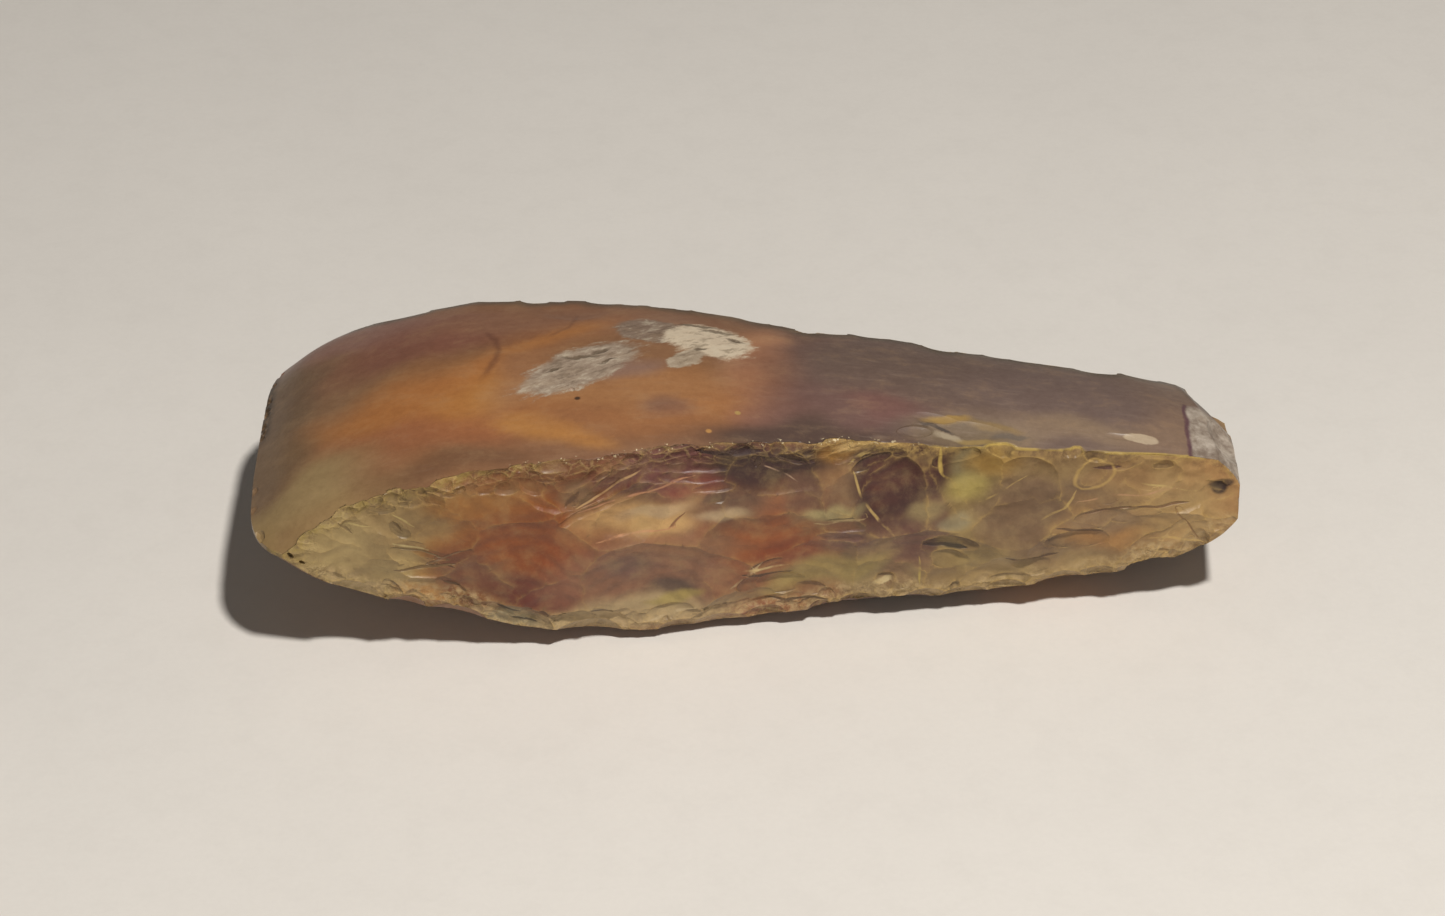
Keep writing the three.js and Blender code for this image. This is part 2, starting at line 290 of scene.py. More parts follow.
# Small steps of the near side, where flakes broke off short: share of length, up the side, half sizes,
# depth, turn, and -1 where the wall is at the top or 1 where it is at the foot
shortSteps = [
    scar("near", *sizes, blunt=hinged, stain="same", wedge=1.2 * wall)
    for *sizes, wall in (
        (0.040, 0.50, 5.4, 2.4, 0.45, -50, 1),
        (0.064, 0.56, 4.6, 2.8, 0.6, -38, 1),
        (0.088, 0.20, 6.0, 3.0, 0.4, -62, 1),
        (0.108, 0.50, 5.0, 2.6, 0.45, -44, 1),
        (0.120, 0.34, 2.6, 1.6, 0.9, -52, 1),
        (0.141, -0.04, 6.0, 1.6, 0.4, -18, 1),
        (0.146, -0.20, 5.6, 1.6, 0.4, -14, 1),
        (0.150, -0.38, 6.4, 1.8, 0.7, 2, 1),
        (0.170, -0.20, 5.6, 1.4, 0.4, 24, 1),
        (0.112, -0.74, 2.0, 1.2, 0.4, -6, -1),
        (0.174, -0.70, 3.6, 2.4, 0.7, -58, -1),
        (0.181, -0.68, 2.4, 2.2, 0.8, -39, -1),
        (0.196, -0.90, 5.4, 2.6, 0.9, -24, -1),
        (0.238, -0.93, 4.6, 2.2, 0.9, -28, -1),
        (0.270, -0.95, 4.2, 2.0, 0.8, -12, -1),
        (0.236, 0.84, 3.6, 2.6, 0.9, -3, 1),
        (0.262, 0.80, 3.4, 2.2, 0.9, -38, 1),
        (0.292, 0.62, 5.4, 2.4, 1.0, -38, 1),
        (0.312, 0.83, 7.6, 2.2, 1.0, 28, 1),
        (0.337, 0.66, 9.6, 1.9, 0.9, 30, 1),
        (0.349, 0.56, 9.8, 1.5, 0.7, 23, 1),
        (0.358, 0.78, 6.0, 1.7, 0.8, 20, 1),
        (0.368, 0.93, 5.0, 2.0, 0.9, 8, 1),
        (0.405, 0.95, 6.5, 1.9, 0.8, 0, 1),
        (0.421, 0.80, 7.6, 1.7, 0.8, -5, 1),
        (0.435, 0.68, 7.4, 1.5, 0.8, -3, 1),
        (0.448, 0.57, 5.4, 1.3, 0.7, 1, 1),
        (0.413, -0.84, 4.8, 2.4, 0.9, 14, -1),
        (0.308, -0.92, 4.8, 2.4, 0.9, 14, -1),
        (0.357, -0.93, 5.8, 2.4, 0.9, -20, -1),
        (0.338, -0.98, 4.0, 2.0, 0.8, 6, -1),
        (0.466, -0.92, 6.4, 2.0, 0.8, 18, -1),
        (0.450, -0.99, 5.0, 1.8, 0.8, 8, -1),
        (0.497, -0.57, 3.2, 2.6, 1.0, 24, -1),
        (0.527, -0.60, 5.6, 3.0, 1.3, -4, -1),
        (0.520, -0.88, 6.0, 2.2, 0.8, 12, -1),
        (0.545, -0.93, 4.4, 2.0, 0.9, -8, -1),
        (0.560, -0.72, 4.0, 1.8, 0.6, -14, -1),
        (0.579, 0.08, 6.0, 1.6, 0.5, -4, 1),
        (0.581, -0.06, 5.0, 1.4, 0.5, -5, 1),
        (0.649, -0.72, 2.2, 1.9, 0.8, -5, -1),
        (0.690, -0.28, 4.4, 2.2, 0.8, 4, -1),
        (0.706, -0.46, 4.4, 2.5, 1.1, -16, -1),
        (0.806, -0.66, 5.4, 2.2, 0.8, 3, -1),
        (0.794, -0.90, 4.2, 1.8, 0.6, 6, -1),
        (0.837, -0.30, 5.6, 2.6, 1.0, -1, -1),
        (0.852, 0.02, 6.0, 2.4, 0.9, 4, -1),
        (0.890, 0.08, 5.6, 2.2, 0.8, 15, -1),
        (0.862, 0.93, 2.3, 1.8, 1.1, -6, 1),
        (0.950, -0.30, 5.0, 2.4, 0.6, 50, -1),
        (0.930, -0.62, 5.6, 3.4, 0.9, 30, -1),
        (0.972, -0.60, 4.6, 3.4, 1.1, 66, 1),
        (0.935, 0.28, 8.0, 3.4, 0.8, 10, 1),
        (0.975, 0.15, 4.4, 3.6, 0.8, -34, 1),
        (0.955, -0.42, 6.0, 3.2, 0.9, 22, -1),
        (0.985, -0.20, 4.0, 2.4, 0.6, -40, 1),
        (0.578, 0.93, 4.4, 2.2, 1.0, 17, 1),
        (0.606, 0.90, 4.8, 2.0, 1.0, 32, 1),
        (0.616, 0.76, 4.2, 1.4, 0.8, 30, -1),
        (0.513, 0.94, 4.4, 2.0, 0.9, -14, 1),
        (0.535, 0.86, 3.6, 1.8, 0.9, -20, 1),
        (0.560, 0.92, 3.4, 1.8, 0.9, -6, 1),
        (0.685, -1.02, 9.0, 2.4, 0.9, 2, -1),
    )
]


def seamTrimming(face, seam, seed):
    made = []
    start, end = scars["trimStart"], scars["trimEnd"]
    count = math.floor((end - start) * stone["length"] / scars["trimSpacing"])
    for i in range(count):
        own = seed + 7 * i
        place = start + (end - start) * (i + between(0.1, 0.9, own)) / count
        if face == "near" and seam > 0 and place > scars["calmFrom"]:
            break
        made.append(scar(
            face,
            place,
            seam * between(0.9, 1, own + 1),
            between(2, 5, own + 2),
            between(1.6, 3, own + 3),
            between(0.5, 1.2, own + 4),
            lean=-seam * (-1 if face == "far" else 1) * between(4, 16, own + 5),
            stain="seam",
        ))
    return made


def crushing():
    # rows of tiny steps where the seams were battered, thickest along the upper near seam
    made = []
    for face, seam, share in (("near", 1, 1), ("near", -1, 0.55), ("far", 1, 0.5), ("far", -1, 0.4)):
        for start, end, density in scars["crushed"]:
            count = round((end - start) * stone["length"] * density * share / 100)
            for i in range(count):
                own = 5000 + 17 * i + round(3000 * start) + 700 * seam + (300 if face == "far" else 0)
                made.append(scar(
                    face,
                    start + (end - start) * (i + chance(own)) / count,
                    seam * between(0.82, 1.0, own + 1),
                    between(0.8, 3.4, own + 2),
                    between(0.7, 2.1, own + 3),
                    between(0.3, 0.8, own + 4),
                    turn=between(-30, 30, own + 5),
                    blunt=hinged if chance(own + 7) > 0.4 else feathered,
                    stain="seam",
                    wedge=1.1 * seam * (-1 if face == "far" else 1),
                ))
    return made


rimBites = [
    scar("far", along, 1, halfLength, 4.5, 1.5, lean=12)
    for along, halfLength in ((0.585, 5), (0.735, 6.5), (0.8, 5), (0.855, 6), (0.915, 5.5))
]
smallBites = [
    scar(
        "far",
        0.4 + 0.047 * i + between(-0.02, 0.02, 77 + i),
        1,
        between(3, 6, 177 + i),
        3.4,
        between(0.3, 0.8, 277 + i),
    )
    for i in range(12)
] + [
    scar("under", 0.141, -0.97, 4, 2.4, 1.2),
    scar("under", 0.193, -0.97, 6, 3, 1.6),
    scar("under", 0.622, -0.95, 4.5, 2.6, 1.4),
    scar("under", 0.672, -0.95, 8, 3, 1.4),
    scar("under", 0.962, -0.92, 5, 3, 1.6),
    scar("under", 0.99, -0.7, 4, 4, 1.5),
]

groundOver = [
    scar("top", 0.215, 0.34, 9, 11, 0.35),
    scar("top", 0.335, 0.8, 8, 5, 0.35),
    scar("top", 0.72, -0.9, 11, 4, 0.8),
    scar("under", 0.24, -0.5, 13, 9, 0.4),
    scar("under", 0.7, 0.5, 12, 7, 0.5),
]

# Small chips, pits and dents seated on the rest
smallDents = [
    scar("top", 0.682, -0.84, 4.2, 1.5, 0.5, turn=8, blunt=stepped),
    scar("top", 0.705, -0.66, 5.0, 1.5, 0.3, turn=-12),
    scar("top", 0.742, -0.8, 6.0, 2.2, 0.3, turn=4),
    scar("top", 0.9, -0.73, 3.0, 1.0, 0.2, turn=-6),
    scar("top", 0.335, -0.3, 0.7, 0.6, 0.4, blunt=stepped),
    scar("near", 0.008, 0.1, 0.6, 0.8, 1.1, turn=20),
    scar("near", 0.02, -0.5, 0.7, 0.5, 1.1, turn=-15),
    scar("near", 0.978, 0.42, 2.3, 1.7, 0.9, turn=-14, wedge=-0.8),
]

buttScars = [
    scar("butt", 0.75, 0.72, 9, 8, 1.7, lean=14, stain="brown"),
    scar("butt", -0.35, 0.85, 6, 5, 1.4, lean=14, stain="brown"),
    scar("butt", -0.4, -0.9, 9, 7, 2.4, lean=-14),
    scar("butt", 0.7, -0.8, 7, 7, 1.8, lean=-10),
]


def edgeNicks():
    # dents of the cutting edge, closest in its far half
    made = []
    for start, end, spacing in scars["nicked"]:
        count = math.floor((end - start) * stone["bladeWidth"] / (2 * spacing))
        for i in range(count):
            seed = 900 + 5 * i + round(50 * end)
            made.append(scar(
                "top" if chance(seed) > 0.4 else "under",
                0.003,
                start + (end - start) * (i + chance(seed + 1)) / count,
                between(0.7, 1.4, seed + 2),
                between(0.6, 1.6, seed + 3),
                between(0.4, 0.8, seed + 4),
            ))
    return made


def wobble(angle, seed, uneven):
    # how far the outline of a scar stands off its ellipse at one angle
    return 1 + uneven * sum(
        math.sin(turns * angle + 2 * math.pi * chance(seed + turns)) / turns for turns in (2, 3, 5)
    )


def seat(place, row, surface):
    # the place, laid flush on the surface under the scar
    outward = place.col[1].xyz
    found = []
    for x, z in scars["seatProbes"]:
        start = place @ Vector((x * row["halfLength"], scars["bowlLid"], z * row["halfHeight"]))
        hit = surface.ray_cast(start, -outward, 2 * scars["bowlLid"])[0]
        if hit:
            found.append(place.inverted() @ hit)
    middle = np.median([at.y for at in found]) if found else 0
    found = np.array([at for at in found if abs(at.y - middle) < scars["seatReach"]])
    if len(found) < scars["seatFewest"]:
        return place @ Matrix.Translation((0, middle, 0))
    known = np.column_stack((np.ones(len(found)), found[:, 0], found[:, 2]))
    height, slopeX, slopeZ = np.linalg.lstsq(known, found[:, 1], rcond=None)[0]
    first = Vector((1, slopeX, 0)).normalized()
    normal = Vector((-slopeX, 1, -slopeZ)).normalized()
    turned = Matrix((first, normal, first.cross(normal))).transposed().to_4x4()
    return place @ Matrix.Translation((0, height, 0)) @ turned


def scarObject(row, number, seatedOn=None):
    bm = bmesh.new()
    rim, lid = scars["bowlRim"], scars["bowlLid"]
    reach = max(row["halfLength"], row["halfHeight"])
    fineness = scars["fineness"][row["face"]]
    uneven = scars["chipUneven"] if reach < scars["chipReach"] else scars["uneven"]
    rings = max(3, round(rim * reach / fineness))
    spokes = max(9, round(2 * math.pi * reach / fineness))
    profile = [bm.verts.new((rim * i / rings, 0, 0)) for i in range(rings + 1)]
    profile += [bm.verts.new((rim, lid, 0)), bm.verts.new((0, lid, 0))]
    edges = [bm.edges.new(pair) for pair in zip(profile, profile[1:])]
    bmesh.ops.spin(
        bm, geom=profile + edges, axis=(0, 1, 0), cent=(0, 0, 0),
        steps=spokes, angle=2 * math.pi, use_merge=True,
    )
    bmesh.ops.remove_doubles(bm, verts=bm.verts[:], dist=1e-5)
    bmesh.ops.recalc_face_normals(bm, faces=bm.faces[:])
    onSide = row["face"] in ("near", "far")
    strikeZ = math.copysign(row["halfHeight"], row["second"]) * (-1 if onSide else 1)
    wave = scars["rippleHeight"] * min(1, reach / scars["rippleReach"]) * onSide
    for vert in bm.verts:
        radius = math.hypot(vert.co.x, vert.co.z)
        x, z = vert.co.x * row["halfLength"], vert.co.z * row["halfHeight"]
        if vert.co.y < lid / 2:
            away = math.hypot(x, z - strikeZ)
            ripple = wave * math.cos(2 * math.pi * (away / scars["rippleLength"]) ** scars["rippleSpread"])
            share = (1 + row["wedge"] * vert.co.z) / (1 + abs(row["wedge"]))
            rise = row["depth"] * (radius ** row["blunt"] - 1) * (share if radius < 1 else 1)
            rise += ripple * math.sin(math.pi * min(radius, 1))
            vert.co.y = min(rise, lid / 2)
        outline = wobble(math.atan2(z, x), 31 * number, uneven)
        vert.co.x, vert.co.z = x * outline, z * outline
    place = placeOnFace(row["face"], row["along"], row["second"])
    place = place @ Matrix.Rotation(math.radians(row["turn"]), 4, "Y")
    if seatedOn:
        place = seat(place, row, seatedOn)
    place = place @ Matrix.Rotation(math.radians(row["lean"]), 4, "X")
    bmesh.ops.transform(bm, matrix=place, verts=bm.verts[:])
    layer = bm.faces.layers.int.new("scarNumber")
    for face in bm.faces:
        face[layer] = number
    mesh = bpy.data.meshes.new(f"scar_{number}")
    bm.to_mesh(mesh)
    bm.free()
    return bpy.data.objects.new(f"scar_{number}", mesh)


def blankObject():
    bm = bmesh.new()
    bmesh.ops.create_cube(bm, size=2)
    for axis, steps in enumerate((stone["alongSteps"], stone["acrossSteps"], stone["upSteps"])):
        edges = [e for e in bm.edges if abs((e.verts[0].co - e.verts[1].co)[axis]) > 1.5]
        bmesh.ops.subdivide_edges(bm, edges=edges, cuts=steps - 1, use_grid_fill=True)
    for vert in bm.verts:
        along = (vert.co.x + 1) / 2
        crowded = (1 - math.cos(math.pi * along)) / 2
        across, up = (math.sin(math.pi / 2 * share) for share in vert.co.yz)
        vert.co = stonePoint((along + crowded) / 2, across, up)
    bm.faces.layers.int.new("scarNumber")
    mesh = bpy.data.meshes.new("blank")
    bm.to_mesh(mesh)
    bm.free()
    return bpy.data.objects.new("axe_head_stone", mesh)


rows = firstScars("near", 1200) + firstScars("far", 200) + lastScars + rimBites + groundOver + buttScars
bigScars = len(rows)        # the smaller ones after these are seated on the surface that these leave
rows += (
    seamTrimming("near", 1, 11) + seamTrimming("near", -1, 301)
    + seamTrimming("far", 1, 501) + seamTrimming("far", -1, 701)
    + shortSteps + smallBites + smallDents + edgeNicks() + crushing()
)


def flatCutter(name, x, z):
    # a block whose face cuts the stone flat at x, or at z
    size = 2 * stone["length"]
    bm = bmesh.new()
    bmesh.ops.create_cube(bm, size=size)
    shift = (0 if x is None else x + size / 2, 0, 0 if z is None else z - size / 2)
    bmesh.ops.translate(bm, vec=shift, verts=bm.verts[:])
    bm.faces.layers.int.new("scarNumber")
    mesh = bpy.data.meshes.new(name)
    bm.to_mesh(mesh)
    bm.free()
    return bpy.data.objects.new(name, mesh)


def cutStone():
    cutters = bpy.data.collections.new("cutters")
    blank = blankObject()
    lowest = min(vert.co.z for vert in blank.data.vertices)
    cutters.objects.link(flatCutter("rest_flat", None, lowest + stone["restCut"]))
    cutters.objects.link(flatCutter("butt_flat", stone["length"], None))
    bpy.context.scene.collection.objects.link(blank)
    cut = blank.modifiers.new("scars", "BOOLEAN")
    cut.operand_type = "COLLECTION"
    cut.collection = cutters
    cut.operation = "DIFFERENCE"
    cut.solver = "MANIFOLD"

    for number, row in enumerate(rows[:bigScars], 1):
        cutters.objects.link(scarObject(row, number))
    bpy.context.view_layer.update()
    surface = BVHTree.FromObject(blank, bpy.context.evaluated_depsgraph_get())
    for number, row in enumerate(rows[bigScars:], bigScars + 1):
        cutters.objects.link(scarObject(row, number, surface))
    bpy.context.view_layer.update()
    mesh = bpy.data.meshes.new_from_object(blank.evaluated_get(bpy.context.evaluated_depsgraph_get()))
    for used in [blank, *cutters.objects]:
        bpy.data.objects.remove(used)
    bpy.data.collections.remove(cutters)
    say(f"{len(rows)} scars cut, {len(mesh.polygons)} faces")
    return mesh


# Stains of the flint, as seen in daylight: red, green, blue from 0 to 255
stains = {
    "olive": (156, 134, 92),
    "amber": (142, 104, 62),
    "red": (120, 78, 54),
    "pink": (134, 98, 77),
    "ochre": (160, 123, 82),
    "brown": (122, 98, 74),
    "maroon": (104, 76, 66),
    "dark": (84, 66, 56),
    "yellow": (148, 126, 82),
    "tan": (148, 118, 80),
    "khaki": (148, 127, 92),
    "rust": (136, 92, 66),
}

# how the sides are stained along the stone: share of length, stain
sideStains = [
    (0.05, "olive"), (0.13, "olive"), (0.19, "amber"), (0.25, "red"), (0.34, "red"), (0.42, "pink"),
    (0.5, "rust"), (0.56, "rust"), (0.61, "brown"), (0.67, "maroon"), (0.73, "yellow"), (0.79, "brown"),
    (0.86, "brown"), (0.91, "tan"), (0.96, "ochre"), (1, "ochre"),
]


daylight = 0.9       # how bright a white sheet would show beside the stone
sheen = 0.022        # light that the waxy surface throws back by itself, in linear colour


def paint(tint, shine=None):
    # linear colour. Where a shine is given, the one that shows as this tint in the studio's light
    linear = [
        value / 12.92 if value <= 0.04045 else ((value + 0.055) / 1.055) ** 2.4
        for value in (channel / 255 for channel in tint)
    ]
    if shine is None:
        return tuple(linear)
    return tuple(max(value - shine, 0.4 * value) / daylight for value in linear)


def stainAt(along):
    return min(sideStains, key=lambda pair: abs(pair[0] - along))[1]


# Colours of the ground faces, seen from above. Zones: colour, middle x and y, half sizes, turn in
# degrees, softness, strength. They lie over each other in this order.
groundColours = {
    "sheen": 0.006,
    "along": [
        (-95, (122, 96, 72)), (-80, (134, 102, 74)), (-60, (134, 96, 66)), (-30, (128, 92, 68)),
        (0, (124, 92, 70)), (15, (108, 84, 74)), (40, (106, 87, 77)), (65, (112, 93, 82)),
        (95, (120, 99, 84)),
    ],
    "zones": [
        ((138, 103, 90), -74, 24, 30, 7, -14, 0.5, 0.9),
        ((124, 82, 66), -60, 15, 26, 8, 4, 0.5, 0.9),
        ((164, 108, 62), -58, -8, 25, 10, 3, 0.55, 1),
        ((166, 112, 62), -47, -11, 14, 8, 0, 0.5, 0.9),
        ((148, 94, 64), -60, -18, 22, 5, 0, 0.6, 0.75),
        ((148, 124, 86), -87, -26, 14, 7, 14, 0.5, 1),
        ((112, 80, 58), -56, -27.6, 17, 3.4, 3, 0.5, 0.85),
        ((130, 90, 62), -40, 10, 9, 10, 10, 0.5, 0.7),
        ((162, 110, 64), -38, 10, 13, 2.6, 33, 0.5, 0.8),
        ((170, 118, 64), -46, -8, 6, 5, 0, 0.6, 0.8),
        ((172, 120, 66), -37, -19.5, 11, 2.4, -16, 0.5, 0.9),
        ((206, 146, 104), 1.5, 1, 5, 13, -12, 0.6, 1),
        ((134, 97, 74), -40, 20, 20, 5, 0, 0.5, 0.8),
        ((112, 90, 68), -90, 12, 5.5, 14, 0, 0.6, 0.8),
        ((118, 94, 68), -90, -10, 6, 10, 0, 0.6, 0.8),
        ((140, 112, 90), -33, -1.8, 16, 8, 34, 0.5, 0.85),
        ((128, 106, 92), -12, 9.5, 15, 9, -14, 0.5, 0.85),
        ((136, 96, 64), -20, -4, 22, 17, 0, 0.3, 0.8),
        ((156, 110, 72), -17, -9, 20, 6, 4, 0.5, 0.9),
        ((138, 96, 66), -18, -17, 20, 4, -2, 0.5, 0.7),
        ((112, 86, 76), -15, -13.2, 4, 1.6, 0, 0.6, 0.7),
        ((136, 108, 94), -21.5, -1.5, 5, 3.4, 0, 0.6, 0.8),
        ((128, 90, 78), 6, -14, 8, 6, 0, 0.5, 0.7),
        ((110, 84, 76), 18, -7, 18, 12, -6, 0.5, 1),
        ((118, 84, 76), 9, 6, 7, 6, 0, 0.5, 0.6),
        ((105, 87, 77), 34, 4, 28, 12, -3, 0.5, 0.9),
        ((84, 67, 59), 12, -19, 22, 4, 3, 0.5, 0.95),
        ((120, 84, 76), 27, -10, 8, 3, 0, 0.5, 0.6),
        ((110, 92, 84), 60, -2, 20, 10, -3, 0.5, 0.8),
        ((136, 114, 92), 62, -11, 20, 4, 3, 0.5, 0.8),
        ((128, 104, 86), 80, -8, 8, 8, 0, 0.5, 0.7),
    ],
    # stained outlines: the same, then thickness as a share of the half sizes
    "rings": [
        ((166, 108, 64), -20.5, -1.5, 23.5, 17, 3, 0.22, 0.3),
        ((94, 60, 48), -60, 6, 12, 13, 0, 0.05, 0.5),
        ((98, 66, 52), -42, 19, 9, 8, 0, 0.05, 0.4),
    ],
    # where each outline shows, or None where it is whole
    "ringEnds": [None, (-48, 6, 4, 10), (-33, 15, 6, 6)],
    "fossil": [
        ((152, 133, 114), -31.8, -1, 12.6, 5.8, 34, 0.5, 1),
        ((128, 111, 96), -18, 12.6, 7.4, 4.6, -10, 0.5, 0.85),
        ((200, 182, 156), -7.2, 9.4, 8.8, 6.2, -22, 0.5, 1),
        ((162, 145, 123), -11.4, 1.6, 3.8, 2.4, 35, 0.5, 0.9),
    ],
    "fossilPits": [
        (-31.8, 2.6, 3.6, 0.6, 4), (-28.3, 4.2, 1.7, 0.5, 24), (-37, -1.5, 1.6, 0.4, 30),
        (-26.5, 0.6, 1.5, 0.35, 20), (-9.4, 15.8, 3.8, 0.55, -4), (-5.6, 13.8, 3, 0.5, -14),
        (-1.8, 10.4, 1.8, 0.4, -30), (-9, 5.2, 1.8, 0.35, 16),
    ],
    "fossilTurn": 26,
    "fossilDark": (92, 76, 58),
    "fossilLight": (196, 182, 158),
    "chip": ((176, 156, 130), 75.8, -11, 3.3, 1.15, -6, 0.1, 1),
    "yellowChips": [
        ((112, 94, 68), 42, -14.6, 11, 4, 0, 0.5, 0.75),
        ((154, 122, 64), 38.6, -11.4, 4.6, 1, 12, 0.4, 0.85),
        ((136, 110, 68), 47, -11.8, 5, 0.9, -6, 0.5, 0.7),
        ((62, 50, 40), 36.4, -13.6, 3.2, 0.4, -10, 0.4, 0.9),
        ((160, 144, 118), 38.6, -15.2, 2.8, 0.8, -6, 0.4, 0.8),
        ((100, 88, 76), 50.4, -14, 3.4, 0.7, 0, 0.4, 0.8),
        ((150, 124, 70), 44, -15.6, 4, 0.8, 4, 0.4, 0.7),
    ],
    "specks": [((182, 134, 78), -7, -20), ((170, 140, 84), -1.5, -14.5), ((60, 46, 38), -32, -11.2)],
    "band": (146, 120, 80),
    # painted shade along the far top edge, which turns away from the light
    "farRimShade": (88, 79, 66),
    # painted shade in the nicks of the cutting edge
    "nickShade": (66, 54, 42),
    "cortex": (188, 174, 157),
    "cortexShade": (126, 109, 93),
    "cortexFrom": 85.2,
    "cortexLine": (98, 70, 72),
}

